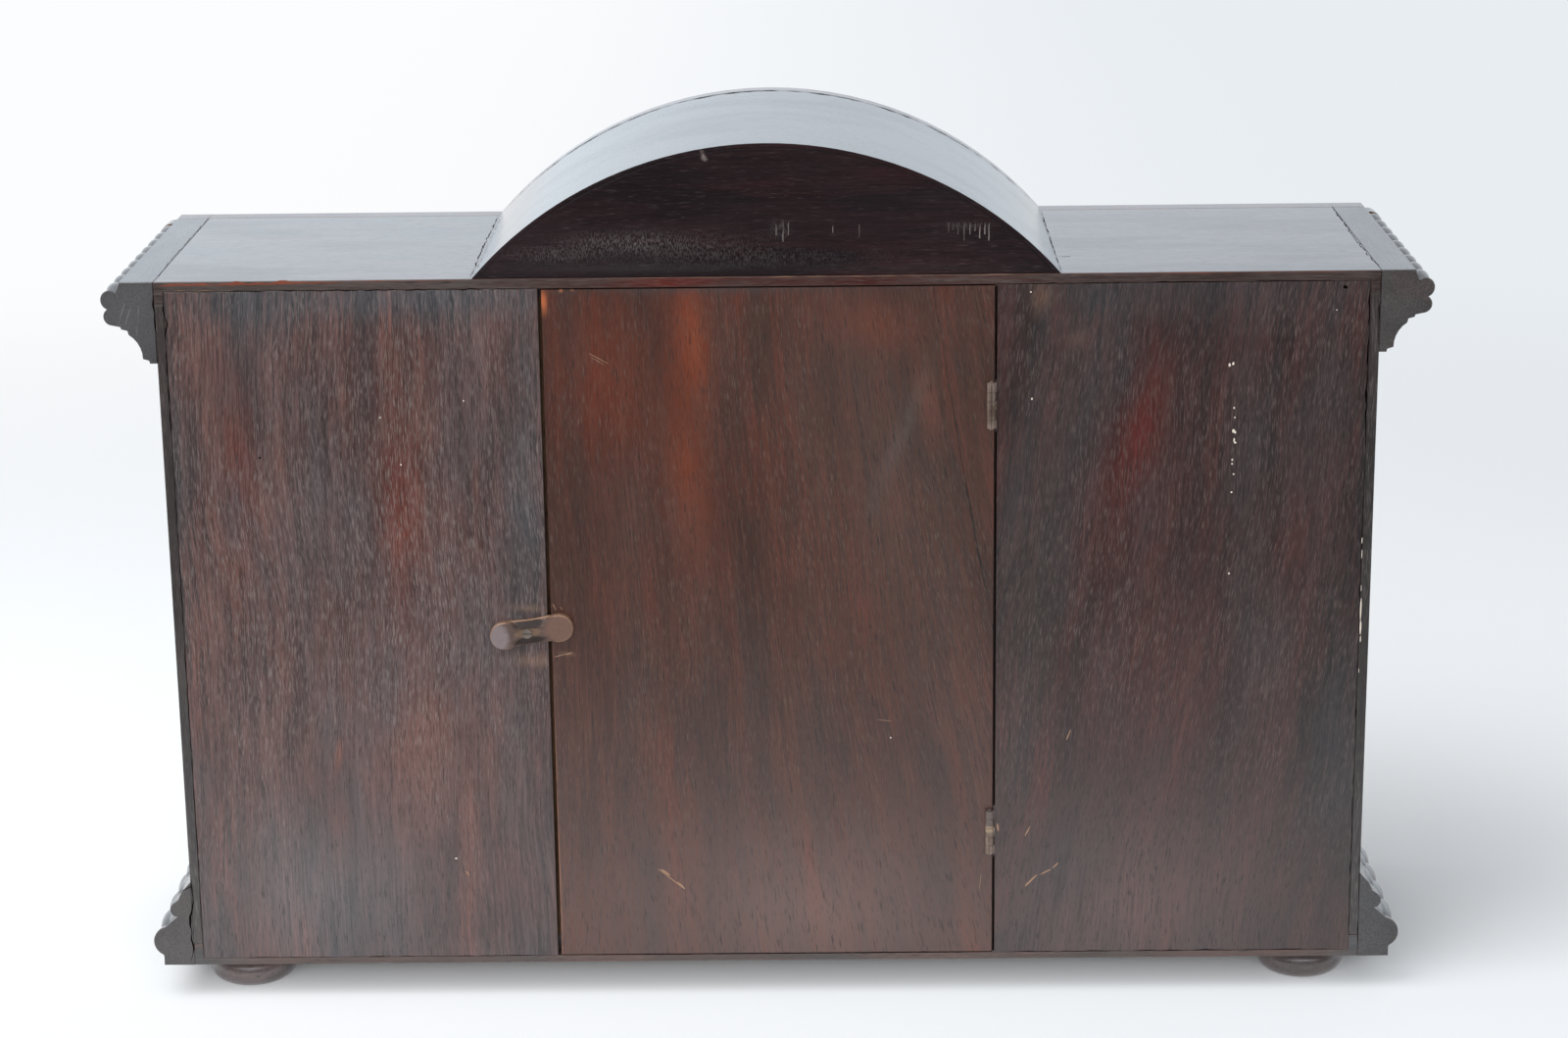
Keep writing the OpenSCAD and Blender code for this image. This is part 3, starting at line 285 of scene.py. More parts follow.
sideVeneer = woodMaterial(
    "polishedVeneerSide", shift=(0.5, 0.2, 0), dark="#2e2422", mid="#43332f", streak="#54352b", soot="#3a3b3d",
    edgeColor="#2a2220", edgeAmount=0.4, **polish)
# Dry back panels: coarse open pores and strong lines, that show as a fur of short pale strokes
openGrain = {"streakAmount": 0.5, "poreLength": 0.07, "poreFrom": 0.54, "contrast": 0.42,
             "poreFade": (0.04, 0.16, 0.3)}
rightPanelWood = woodMaterial(
    "stainedOpenGrainRight", **openGrain, shift=(0.13, 0.0, 0.4), dark="#3a2a29", mid="#543b37", streak="#653d34",
    pits=0.4, soot="#404246", poreAmount=0.38, sway=0.014, edgeColor="#2d2220",
    patches=[
        (227, 240, 9, 46, 1, "#5e2416", 0.7), (158, 208, 10, 80, 2, "#632413", 0.8),
        # (200, 50) lightens and greys the bottom of the panel: painted light from the bright floor
        (150, 200, 30, 70, "#5a2f24", 0.45), (191, 116, 2, 9, -8, "#904d36", 0.7), (200, 50, 55, 45, "#6c7074", 0.35),
        (166, 120, 40, 60, "#79473a", 0.35), (150, 320, 110, 12, "#45494e", 0.75), (225, 318, 24, 18, "#353b40", 0.7),
        (257, 230, 9, 110, "#303437", 0.8), (103, 250, 7, 90, "#424346", 0.6), (103, 158, 12, 4, "#8a6a55", 0.5),
        (106, 182, 12, 2, -5, "#8a6a50", 0.4)])
# The left panel is darker than the right: partly the wood's own tone, partly painted shade of the light falling off
# across the back
leftPanelWood = woodMaterial(
    "stainedOpenGrainLeftPaintedShade", **openGrain, shift=(0.61, 0.0, 0.15), dark="#231514", mid="#38211e", streak="#48211a",
    pits=0.75, soot="#2d2b2e", pore="#6e615c", poreAmount=0.36, edgeColor="#1e1413", sway=0.016,
    slant=(0.1, -0.1, -0.12, 0.2),
    patches=[
        (-151, 250, 12, 50, -4, "#551106", 0.85), (-133, 222, 10, 40, -4, "#450e05", 0.7),
        (-150, 215, 26, 40, "#39150f", 0.7), (-232, 215, 14, 70, -3, "#491e18", 0.35),
        (-177, 140, 40, 60, "#4a2621", 0.4), (-124, 317, 14, 9, "#252528", 0.85),
        (-175, 322, 100, 20, "#38383b", 0.5), (-116, 200, 20, 170, "#38322f", 0.55),
        # (-98.1, 170) darkens the panel's edge along the door's gap: dirt and painted shade in the gap
        (-98.1, 170, 0.6, 200, "#0e0b0a", 1.0), (-250, 270, 9, 45, 4, "#1b1c1d", 0.9),
        (-250, 170, 13, 130, "#181617", 0.75), (-103, 318, 6, 9, "#785643", 0.5),
        # (-170, 40) lightens the bottom of the panel: painted light from the bright floor
        (-120, 299, 6, 6, 30, "#6a4f45", 0.4), (-170, 40, 90, 55, "#6a534e", 0.5), (-103, 230, 8, 60, "#353335", 0.6)])
doorWood = woodMaterial(
    "stainedOpenGrainDoor", shift=(0.92, 0.0, 0.7), dark="#371e16", mid="#4a281d", sway=0.01,
    slant=(0.1, -0.1, 0.2, 0.17), streak="#5a2717", soot="#372b27", sootAmount=0.35, pore="#70665d", poreAmount=0.3,
    poreFrom=0.58, poreLength=0.07, pits=0.3, edgeColor="#412921", poreFade=(0.04, 0.16, 0.35), contrast=0.26,
    patches=[
        (-65, 240, 50, 110, "#473c38", 0.6), (22, 300, 10, 34, "#893b14", 0.6), (30, 245, 12, 56, "#763111", 0.6),
        (66, 285, 26, 40, "#642811", 0.7), (-62, 306, 34, 16, "#6b3520", 0.5), (-86, 272, 8, 22, "#6c4032", 0.5),
        # The orange marks at the door's free edge, near x 80 to 96, are raw wood at the worn edge and a painted
        # highlight where the edge catches the light
        (-71, 258, 5, 48, -31, "#64615d", 0.2), (10, 324, 90, 4, "#3c3737", 0.8), (94, 318, 2.6, 6, "#c0683a", 0.85),
        (84.8, 323.4, 1.3, 1.8, "#d08050", 0.9), (79.6, 323.6, 1.0, 1.2, "#c88050", 0.8),
        # (-96.9, 170) darkens the door's edge along its gap: dirt and painted shade in the gap
        (96.2, 290, 0.9, 60, "#cf8a58", 0.95), (-96.9, 170, 0.6, 200, "#0e0b0a", 1.0),
        (96.2, 130, 0.9, 150, "#ad7048", 0.9), (89, 161, 4.5, 1.1, -8, "#7d5f47", 0.5),
        (-91.9, 271, 1.3, 12, "#251c18", 0.7), (-92.1, 77, 1.2, 11, "#2b211b", 0.6),
        # (0, 40) lightens the bottom of the door: painted light from the bright floor
        (-94.3, 62.5, 1.6, 2.4, "#817364", 0.6), (0, 40, 110, 50, "#76615c", 0.4)])
crestBackWood = woodMaterial(
    "darkStainedCrestBack", grain="X", shift=(0.2, 0.7, 0), dark="#160e10", mid="#221517", streak="#2d1516",
    soot="#262126", sootAmount=0.3, pore="#756768", poreFrom=0.62, poreAmount=0.16, coat=0.08, roughness=0.5,
    specular=0.15, edgeColor="#140d0e", edgeAmount=0.6,
    patches=[(25.6, 379.6, 1.2, 3, 20, "#8d817d", 0.7), (60, 332, 70, 3, "#343233", 0.5),
             (-60, 331, 70, 3, "#2f2b2d", 0.4)],
    scuffs=[(60, 343, 32, 6, "#7d7877", 0.7), (30, 341, 40, 8, "#6f6a6a", 0.4), (88, 338, 26, 5, "#7d7877", 0.5),
            (0, 336, 70, 6, "#6f6a6a", 0.3), (-85, 349, 12, 2, "#7d7775", 0.5), (-6, 348, 5, 5, "#7d7775", 0.5)])
carvedWood = woodMaterial(
    "waxedEndGrainCarving", grain="Y", shift=(0.4, 0.3, 0.9), dark="#322d2d", mid="#413b39", streak="#463b37",
    soot="#3e3e40", sootShare=0.35, poreAmount=0.12, contrast=0.28, coatRoughness=0.18, edgeColor="#79716b",
    edgeAmount=0.25, patches=[(272, 314, 24, 24, "#595b60", 0.7), (-270, 30, 34, 70, "#110e0e", 0.9)])
stripWood = woodMaterial(
    "stainedTopBoardEdge", grain="X", shift=(0.25, 0.8, 0.6), dark="#39302c", mid="#4c413e", streak="#48342e",
    soot="#403f3c", sootAmount=0.4, poreAmount=0.1, contrast=0.12, coat=0.3, specular=0.3, edgeColor="#48281e",
    edgeAmount=0.4,
    patches=[(0, 326, 130, 30, "#3b0b05", 0.95), (40, 325.5, 24, 5, "#731c0a", 0.35),
             (-195, 326, 68, 30, "#322420", 0.85), (258, 320, 4, 12, "#2e2623", 0.9),
             (-258, 320, 4, 12, "#241a18", 0.9)])
lipWood = woodMaterial(
    "stainedSideBoardEdge", shift=(0.35, 0.1, 0.8), dark="#272121", mid="#38312f", streak="#352723", soot="#2f2e2d",
    sootAmount=0.4, poreAmount=0.2, edgeColor="#1c1615", edgeAmount=0.4,
    patches=[(-258, 170, 9, 220, "#211817", 0.95)])
boardWood = woodMaterial(
    "stainedBottomBoard", grain="X", shift=(0.8, 0.2, 0.1), dark="#382d28", mid="#4f3a32", streak="#5d3225",
    soot="#3e484d", contrast=0.12, poreAmount=0.1, edgeColor="#51362c",
    patches=[(258, 22, 4, 12, "#343332", 0.85), (-258, 22, 4, 12, "#292424", 0.85)])
footWood = woodMaterial(
    "turnedSatinFoot", grain="X", shift=(0.5, 0.5, 0.5), dark="#433a38", mid="#5c4f4f", streak="#64524f",
    sootAmount=0.2, poreAmount=0.1, roughness=0.3, coatRoughness=0.12, bump=0.1)
innerWood = woodMaterial(
    "rawSawnSoftwood", shift=(0.2, 0.6, 0.3), dark="#5e4430", mid="#7a5b42", streak="#6a4530", soot="#4a3e36",
    sootAmount=0.4, pore="#8f7a63", coat=0.0, roughness=0.75)
print("wood mixed")


# Metal, paint and glass


# Metal with brush lines along one axis and a tarnish that gathers in patches; spots are ellipses of another colour
def metalMaterial(name, hexText, tarnish, tarnishAmount, roughness, lines=(1, 1, 0.05), lineScale=900, bump=0.06,
                  metallic=1.0, bare="#b8a894", spots=()):
    material, add, place = emptyMaterial(name)
    stretched = add("Mapping", {"Vector": place}, {"Scale": lines})
    brushed = add("TexNoise", {"Vector": stretched[0]}, {"Scale": lineScale, "Detail": 3})
    rubbed = add("Attribute", attribute_name="edge")["Fac"]
    clouds = add("TexNoise", {"Vector": place}, {"Scale": 110, "Detail": 4, "Roughness": 0.65})
    mask = add("MapRange", {"Value": clouds["Fac"]}, {1: 0.42, 2: 0.68, 4: tarnishAmount})
    color = add("Mix", {0: mask[0]}, {6: hexText, 7: tarnish}, data_type="RGBA")
    for *ellipse, spotHex, amount in spots:
        share = add("Math", {0: patchMask(add, place, ellipse, clouds["Fac"], (1.1, 1.6))}, {1: amount}, **times)
        color = add("Mix", {0: share[0], 6: color[2]}, {7: spotHex}, data_type="RGBA")
    color = add("Mix", {0: rubbed, 6: color[2]}, {7: bare}, data_type="RGBA")
    uneven = add("Math", {0: brushed["Fac"], 1: mask[0]}, operation="ADD")
    rough = add("MapRange", {"Value": uneven[0]}, {1: 0.3, 2: 1.3, 3: roughness, 4: min(1.0, roughness + 0.3)})
    bumps = add("Bump", {"Height": uneven[0]}, {"Strength": bump, "Distance": 0.0001})
    shader = add("BsdfPrincipled", {"Base Color": color[2], "Roughness": rough[0], "Normal": bumps[0]},
                 {"Metallic": metallic})
    add("OutputMaterial", {"Surface": shader[0]})
    return material


agedIron = metalMaterial(
    "brownedOldIron", "#6b5952", "#4b3930", 0.7, 0.42, (1, 1, 1), 260, 0.3, 0.6, "#94745d",
    [(119.8, 169.6, 6.2, 6.4, "#97898a", 0.8), (91.8, 173.6, 6.2, 6.4, "#836559", 0.8),
     # (105, 175.6) and (105, 167.9) darken the sunk filed facets above and below the ridge: painted shade
     (105, 175.6, 6.8, 2.3, 8, "#2c2421", 0.95), (105, 167.9, 6.8, 2.0, 8, "#332b28", 0.9),
     (105.6, 171.7, 5.6, 1.9, 8, "#826a58", 0.9)])
screwIron = metalMaterial("wornScrewHead", "#857a72", "#4a3a31", 0.6, 0.4, (1, 1, 1), 500, 0.2, 0.7, "#8d7d70")
hingeBrass = metalMaterial(
    "dulledHingeBrass", "#98867c", "#5e493a", 0.8, 0.4, (1, 1, 1), 400, 0.3, 0.7, "#bda994",
    [(-95.4, 271, 0.45, 9.4, "#3f302a", 0.7), (-94.6, 271, 0.4, 9, "#57463c", 0.5),
     (-95.4, 84.5, 4, 4.2, "#6a615d", 0.8), (-95.4, 78.6, 4, 1.4, "#c4ab8c", 0.5),
     (-95.2, 71, 0.5, 6, "#5a4a41", 0.5)])
plateBrass = metalMaterial("grainedClockBrass", "#c9a45c", "#7d6232", 0.45, 0.3, (1, 1, 0.03), 1200, 0.08)
wheelBrass = metalMaterial("cutWheelBrass", "#d1ad66", "#86693a", 0.4, 0.26, (1, 1, 1), 700, 0.05)
gildedBrass = metalMaterial("lacqueredBezelBrass", "#cba257", "#8a6a35", 0.3, 0.16, (1, 0.2, 1), 1500, 0.008)
groundSteel = metalMaterial("groundSteel", "#9b9d9f", "#5f5a55", 0.4, 0.32, (1, 1, 0.05), 1300, 0.08)
bluedSteel = metalMaterial("heatBluedSteel", "#222c4a", "#15161f", 0.4, 0.22, (1, 1, 1), 600, 0.03)


# Paint or ink with a soft gloss, and a second colour in clouds
def paintMaterial(name, hexText, spot, roughness, amount, specular=0.5):
    material, add, place = emptyMaterial(name)
    clouds = add("TexNoise", {"Vector": place}, {"Scale": 24, "Detail": 6, "Roughness": 0.65})
    mask = add("MapRange", {"Value": clouds["Fac"]}, {1: 0.45, 2: 0.8, 4: amount})
    color = add("Mix", {0: mask[0]}, {6: hexText, 7: spot}, data_type="RGBA")
    grit = add("TexNoise", {"Vector": place}, {"Scale": 1500, "Detail": 2})
    bumps = add("Bump", {"Height": grit["Fac"]}, {"Strength": 0.04, "Distance": 0.0001})
    shader = add("BsdfPrincipled", {"Base Color": color[2], "Normal": bumps[0]},
                 {"Roughness": roughness, "IOR": 1.5, "Specular IOR Level": specular})
    add("OutputMaterial", {"Surface": shader[0]})
    return material


dialPaint = paintMaterial("creamDialEnamel", "#f0e3ca", "#cfae84", 0.35, 0.5)
inkPaint = paintMaterial("blackDialInk", "#1b1a1a", "#2b2724", 0.45, 0.5)
paleFleck = paintMaterial("driedPaintFleck", "#d8cdbf", "#a08a76", 0.7, 0.6)
rawScratch = paintMaterial("rawWoodInScratch", "#94745d", "#6c4f3d", 0.7, 0.8)
rawEdgeAndGlint = paintMaterial("redWornWoodAndGlint", "#733824", "#40211a", 0.6, 1.0)
scuffedWax = paintMaterial("scuffedGreyWax", "#6d6663", "#4c4643", 0.6, 0.8)
darkHole = paintMaterial("darkNailHole", "#0d0908", "#1a1210", 0.8, 0.5, 0.0)

glass, add, place = emptyMaterial("clearWindowGlass")
glassDust = add("TexNoise", {"Vector": place}, {"Scale": 60, "Detail": 5})
glassHaze = add("MapRange", {"Value": glassDust["Fac"]}, {1: 0.5, 2: 0.8, 3: 0.01, 4: 0.06})
glassShader = add(
    "BsdfPrincipled", {"Roughness": glassHaze[0]}, {"Base Color": "#f7faf9", "IOR": 1.5, "Transmission Weight": 1.0})
add("OutputMaterial", {"Surface": glassShader[0]})
print("metal, paint and glass mixed")


# Case boards and panels, with softened edges

boards = {
    "top_board": ("topBoard", 0.5, topVeneer),
    "bottom_board": ("bottomBoard", 0.4, boardWood),
    "left_side_board": ("leftSideBoard", 0.4, sideVeneer),
    "right_side_board": ("rightSideBoard", 0.4, sideVeneer),
    "front_panel": ("facade", 0.5, frontVeneer),
    "arch_skin": ("crestSheet", 0.3, crestVeneer),
    "arch_back": ("crestBack", 0.4, crestBackWood, "case", "crest_wood"),
    "left_back_panel": ("leftBackPanel", 0.4, leftPanelWood, "case", "back_panel_wood"),
    "right_back_panel": ("rightBackPanel", 0.4, rightPanelWood, "case", "back_panel_wood"),
    "back_door": ("backDoor", 0.45, doorWood, "back_door", "door_wood"),
    "hinge_frame_leaves": ("hingeFrameLeaves", 0.12, hingeBrass, "case", "aged_iron"),
    "hinge_door_leaves": ("hingeDoorLeaves", 0.12, hingeBrass, "back_door", "aged_iron"),
}
for node, (name, radiusMm, material, *place) in boards.items():
    softenedCopy(node, name, radiusMm, material, *(place or ("case", "polished_wood")))

# The boards' back edges are stained, not polished
backEdges = {"topBoard": stripWood, "leftSideBoard": lipWood, "rightSideBoard": lipWood, "crestSheet": crestBackWood}
for name, material in backEdges.items():
    mesh = bpy.data.objects[name].data
    mesh.materials.append(material)
    for face in mesh.polygons:
        if face.normal.y > 0.8 and face.center.y > caseBackY - 1 * mm:
            face.material_index = 1

# Faces turned to the middle of the case were never stained
caseMiddle = Vector((0, 0, (caseLowZ + caseTopZ) / 2))
for name in [look[0] for node, look in boards.items() if not node.startswith("hinge")]:
    mesh = bpy.data.objects[name].data
    mesh.materials.append(innerWood)
    for face in mesh.polygons:
        if face.normal.dot(face.center - caseMiddle) < 0 and face.center.y < caseBackY - 5 * mm:
            face.material_index = len(mesh.materials) - 1
print("boards softened")


# Carved cornice and base moulding: an outline drawn along the depth, then cut into slanted lobes

carving = {"steps": 200, "rimMm": 0.4, "flatMm": 1.2, "fadeReach": 0.5, "fadeMm": 6}
cornice = {
    "start": (0, 0),
    "moves": [(14.5, 0), (14.59, -3.1), (17.4, -7.6, -167), (20.4, -11.9), (18.0, -14.9, -130), (15, -19.4),
              (14.5, -20.5), (12, -21.1), (11.6, -22.85), (18.2, -33, 59), (3.5, -34.2), (3.2, -35.5), (0, -35.5)],
    "carved": [
        {"centre": (17.4, -7.6), "radius": 5.3, "reach": 1.06, "pitch": 15.8, "depth": 4.4, "slant": 0.7,
         "rimShare": 0.88}],
}
base = {
    "start": (0, 0),
    "moves": [(13.7, 0), (13.7, 4), (14.1, 4.99), (10.4, 11.4, 135), (12.3, 18.6), (6.6, 23.3), (7.54, 23.29),
              (6, 26.6, 125), (7.8, 29.8), (5.8, 31.5), (4.1, 35.1), (2.1, 37.2), (0, 39.6)],
    "carved": [
        {"centre": (10.4, 11.4), "radius": 9.0, "reach": 1.5, "pitch": 22, "depth": 2.6, "slant": 0.55,
         "rimShare": 0},
        {"centre": (5.0, 27.0), "radius": 6.5, "reach": 1.5, "pitch": 22, "depth": 1.8, "slant": -0.6, "rimShare": 0}],
}


def carvedMoulding(look, name, node, side, zeroZ):
    bm = bmesh.new()
    first, last = drawOutline(bm, look["start"], look["moves"], caseBackY)
    bmesh.ops.contextual_create(bm, geom=[last, first])
    bmesh.ops.remove_doubles(bm, verts=bm.verts, dist=0.02 * mm)
    bmesh.ops.contextual_create(bm, geom=bm.edges[:])
    grown = bmesh.ops.extrude_face_region(bm, geom=bm.faces[:])["geom"]
    length = caseBackY - facadeBackY
    bmesh.ops.translate(bm, verts=vertsIn(grown), vec=(0, -length, 0))
    rims = [e for e in bm.edges if abs(e.verts[0].co.y - e.verts[1].co.y) < 1e-6]
    bmesh.ops.bevel(bm, geom=rims, offset=carving["rimMm"] * mm, offset_type="OFFSET", affect="EDGES", segments=1,
                    profile=0.5, material=-1, clamp_overlap=True)
    runs = [e for e in bm.edges if abs(e.verts[0].co.y - e.verts[1].co.y) > 0.5 * length]
    bmesh.ops.subdivide_edges(bm, edges=runs, cuts=carving["steps"], use_grid_fill=True)
    for v in bm.verts:
        for cut in look["carved"]:
            away = Vector((v.co.x / mm - cut["centre"][0], v.co.z / mm - cut["centre"][1]))
            reach = away.length / cut["radius"]
            if reach > cut["reach"] or v.co.x < carving["flatMm"] * mm:
                continue
            slanted = cut["slant"] * math.atan2(away.y, away.x) / math.pi
            along = (caseBackY - v.co.y) / mm / cut["pitch"] + 0.5 + slanted
            lobe = math.sqrt(1 - (2 * (along % 1) - 1) ** 2)
            fade = min(1.0, (cut["reach"] - reach) / carving["fadeReach"] + cut["rimShare"])
            inward = (1 - lobe) * cut["depth"] * (fade * min(1.0, v.co.x / mm / carving["fadeMm"]))
            far = max(away.length, 0.1)
            v.co.x -= away.x / far * inward * mm
            v.co.z -= away.y / far * inward * mm
    bmesh.ops.translate(bm, verts=bm.verts, vec=(halfCase, 0, zeroZ))
    if side < 0:
        bmesh.ops.scale(bm, vec=(-1, 1, 1), verts=bm.verts)
    bmesh.ops.recalc_face_normals(bm, faces=bm.faces)
    finishPiece(bm, name, carvedWood, "case", [node], sharpDeg=50)


for side, word in ((1, "right"), (-1, "left")):
    carvedMoulding(cornice, word + "Cornice", word + "_cornice", side, caseTopZ)
    carvedMoulding(base, word + "BaseMoulding", word + "_base_moulding", side, caseLowZ)
print("mouldings carved")


# Turned bun feet

foot = {
    "radiusMm": 20, "steps": 56,
    "outline": [(11.4, 0), (12, 0.2), (12, 7.2, 0.1), (13.6, 0.35), (12.6, 7.4, 160), (15.2, 14.4), (15.4, 15.0),
                (16.6, 15.1), (16.8, 15.5), (16.6, 16), (0, 16)]}


def bunFeet():
    bm = bmesh.new()
    low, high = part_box("bun_feet")
    half = foot["radiusMm"] * mm
    spots = [(x, y) for x in (low.x + half, high.x - half) for y in (low.y + half, high.y - half)]
    for x, y in spots:
        made = bmesh.new()
        drawOutline(made, (0, 0), foot["outline"], 0)
        bmesh.ops.spin(made, geom=made.verts[:] + made.edges[:], cent=(0, 0, 0), axis=(0, 0, 1),
                       angle=math.radians(360), steps=foot["steps"], use_merge=True, use_duplicate=False)
        bmesh.ops.remove_doubles(made, verts=made.verts, dist=0.02 * mm)
        bmesh.ops.recalc_face_normals(made, faces=made.faces)
        bmesh.ops.translate(made, verts=made.verts, vec=(x, y, 0))
        shape = bpy.data.meshes.new("footShape")
        made.to_mesh(shape)
        made.free()
        bm.from_mesh(shape)
        bpy.data.meshes.remove(shape)
    finishPiece(bm, "bunFeet", footWood, "case", ["bun_feet"])


bunFeet()
print("feet turned")


# Turn button: a forged bar with two flat lobes and a filed ridge between them

button = {"slantDeg": 8, "reachMm": 20.2, "tailMm": 16.4, "halfMm": 6.1, "thickMm": 3.1, "liftMm": 0.3,
          "waistMm": 0.55, "lobeMm": (6.6, 6.3), "ridgeMm": 2.2, "filedMm": 1.9, "stepMm": 0.35, "ramp": 0.13,
          "rimMm": 0.5, "roundMm": 0.45, "dropMm": 0.35, "dentMm": 0.12, "rimWearAndHighlight": (0.75, 0.2)}


def turnButton():
    bm = bmesh.new()
    bmesh.ops.create_grid(bm, x_segments=110, y_segments=44, size=1)
    half, long = button["halfMm"], (button["reachMm"] + button["tailMm"]) / 2
    middle = (button["tailMm"] - button["reachMm"]) / 2
    inset = {}
    for v in bm.verts:
        u, w = v.co.x, v.co.y
        x = math.sin(u * math.pi / 2) * long
        past = max(0.0, abs(x) - (long - half))
        waist = half - button["waistMm"] * math.cos(min(1.0, abs(x) / (long - half)) * math.pi / 2) ** 2
        wide = math.sqrt(max(0.0, half * half - past * past)) if past > 0 else waist
        z = w * wide
        lobe = (abs(x) - (long - half)) ** 2 / button["lobeMm"][0] ** 2 + (z / button["lobeMm"][1]) ** 2
        filed = min(1.0, max(0.0, (lobe - 1) / button["ramp"])) if abs(x) < long - half else 0.0
        slope = min(1.0, max(0.0, (abs(z) - button["ridgeMm"]) / (wide - button["ridgeMm"] + 0.01)))
        inset[v] = half - math.hypot(past, z) if past > 0 else waist - abs(z)
        edgeFall = max(0.0, 1 - inset[v] / button["roundMm"])
        dent = button["dentMm"] * noise.noise(Vector((x * 0.35, z * 0.35, 0)))
        cutMm = filed * (button["stepMm"] + slope * button["filedMm"])
        y = button["liftMm"] + button["thickMm"] - cutMm - button["dropMm"] * edgeFall ** 2 + dent
        v.co = ((middle + x) * mm, y * mm, z * mm)
    rubbed = bm.faces.layers.float.new("edge")
    for face in bm.faces:
        spot = face.calc_center_median()
        # The rim along the top and at one end takes more of the bare colour than the rest: partly wear, partly a
        # painted highlight where those edges catch the light
        atRim = min(inset[v] for v in face.verts) < button["rimMm"]
        litRim = spot.z > 0 or spot.x < -0.5 * long * mm
        face[rubbed] = button["rimWearAndHighlight"][0 if litRim else 1] if atRim else 0.0
    bmesh.ops.remove_doubles(bm, verts=bm.verts, dist=0.03 * mm)
    rim = [e for e in bm.edges if e.is_boundary]
    skirt = bmesh.ops.extrude_edge_only(bm, edges=rim)["geom"]
    for v in vertsIn(skirt):
        v.co.y = button["liftMm"] * mm
    bmesh.ops.contextual_create(bm, geom=[e for e in skirt if isinstance(e, bmesh.types.BMEdge) and e.is_boundary])
    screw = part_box("turn_button_screw")
    centre = Matrix.Translation(((screw[0].x + screw[1].x) / 2, caseBackY, (screw[0].z + screw[1].z) / 2))
    slant = Matrix.Rotation(math.radians(button["slantDeg"]), 4, "Y")
    bmesh.ops.transform(bm, matrix=centre @ slant, verts=bm.verts)
    bmesh.ops.recalc_face_normals(bm, faces=bm.faces)
    finishPiece(bm, "turnButton", agedIron, "turn_button", ["turn_button"])


turnButton()
print("turn button forged")


# Marks that time has left on the back: flecks of paint, scratches down to raw wood, nail holes; with them, painted
# shade in the door's gap and painted highlights along worn edges

marks = {
    "flecks": [
        (-196.7, 287.5, 0.5, 0.8), (-198.3, 288.1, 0.5, 0.7), (-199.1, 268.7, 0.4, 0.5), (-199.5, 264.4, 0.3, 0.4),
        (-199, 258.6, 0.6, 0.8), (-199.8, 257.9, 0.4, 0.6), (-199.4, 254.6, 0.4, 0.8), (-199.9, 253.4, 0.6, 0.5),
        (-198.8, 245.8, 0.4, 0.5), (-198.8, 244, 0.4, 0.4), (-199.5, 239.4, 0.4, 0.4), (-198.8, 231.3, 0.4, 0.4),
        (-198.6, 194.9, 0.4, 0.4), (-112.8, 273.5, 0.4, 0.5), (-112, 320, 0.4, 0.35), (-241.5, 311, 0.35, 0.3),
        (-255.6, 209, 0.2, 1.6), (-255.8, 203, 0.15, 2.2), (-256, 187.7, 0.15, 1.4), (-256.1, 178, 0.3, 5),
        (-256.3, 170, 0.35, 3.4), (-256.4, 164.6, 0.25, 1.5), (-256.2, 150, 0.15, 1), (130, 275, 0.3, 0.4),
        (158, 247, 0.4, 0.4), (166, 268, 0.3, 0.3), (-52, 121, 0.3, 0.4), (141, 66, 0.5, 0.4)],
    "scratches": [
        (52.1, 60.9, 39.3, 50.1, 0.5), (50, 60, 46, 57, 0.9), (43, 54, 39.5, 50.5, 0.8),
        (76.2, 295.5, 67.1, 290.3, 0.22), (75.6, 294, 69.1, 290, 0.2), (-111.1, 50.2, -117, 56.5, 0.9),
        (-118, 56, -123, 58.6, 0.7), (-123.5, 59, -126.5, 62, 0.6), (-111, 74, -113.5, 79, 0.5),
        (-46, 129.5, -53, 128.6, 0.2), (94.5, 159.6, 90, 160.8, 0.4), (90.2, 160.6, 86.4, 161.6, 0.6),
        (-129, 119, -131, 124, 0.5), (135.5, 58, 137, 60, 0.8), (-91, 48, -92, 57, 0.25),
        (-98.9, 80.5, -99.5, 76.8, 0.8), (94.5, 184, 93.3, 180.8, 0.4), (91.5, 182.5, 90.3, 181, 0.3)],
    "holes": [(218.5, 250.7, 0.5), (-244.9, 320.8, 0.9)],
}


def flatMarks(spots, liftMm):
    bm = bmesh.new()
    for x, z, halfX, halfZ, turn in spots:
        made = bmesh.ops.create_circle(bm, cap_ends=True, cap_tris=False, segments=9, radius=1)["verts"]
        face = made[0].link_faces[0]
        for v in made:
            v.co *= 0.8 + 0.4 * random.random()
        bmesh.ops.inset_individual(bm, faces=[face], thickness=0.35, depth=0)
        for v in face.verts:
            v.co.z += 1
        whole = set(made) | set(face.verts)
        turned = Matrix.Translation((x * mm, caseBackY, z * mm)) @ Matrix.Rotation(turn, 4, "Y")
        sized = turned @ Matrix.Diagonal((halfX * mm, liftMm * mm, halfZ * mm, 1))
        bmesh.ops.transform(bm, verts=list(whole), matrix=sized @ Matrix.Rotation(-math.pi / 2, 4, "X"))
    turnFaces(bm, Vector((0, 1, 0)))
    return bm


# Saw ticks on the crest (x, top, bottom), in Mm
sawTicks = [(-7.6, 352, 342.7), (-4.6, 350.5, 345.5), (-9.8, 351.3, 345.5), (-28.5, 349.6, 346.3),
            (-39.6, 350, 344.6), (-77.2, 350.4, 346), (-79, 350, 347), (-81.2, 350, 345), (-83.8, 350, 342.5),
            (-86.3, 350, 345), (-88.5, 349.8, 346.5), (-90.5, 349.4, 343.3), (-92.6, 350, 345), (-94.3, 350, 342.4)]
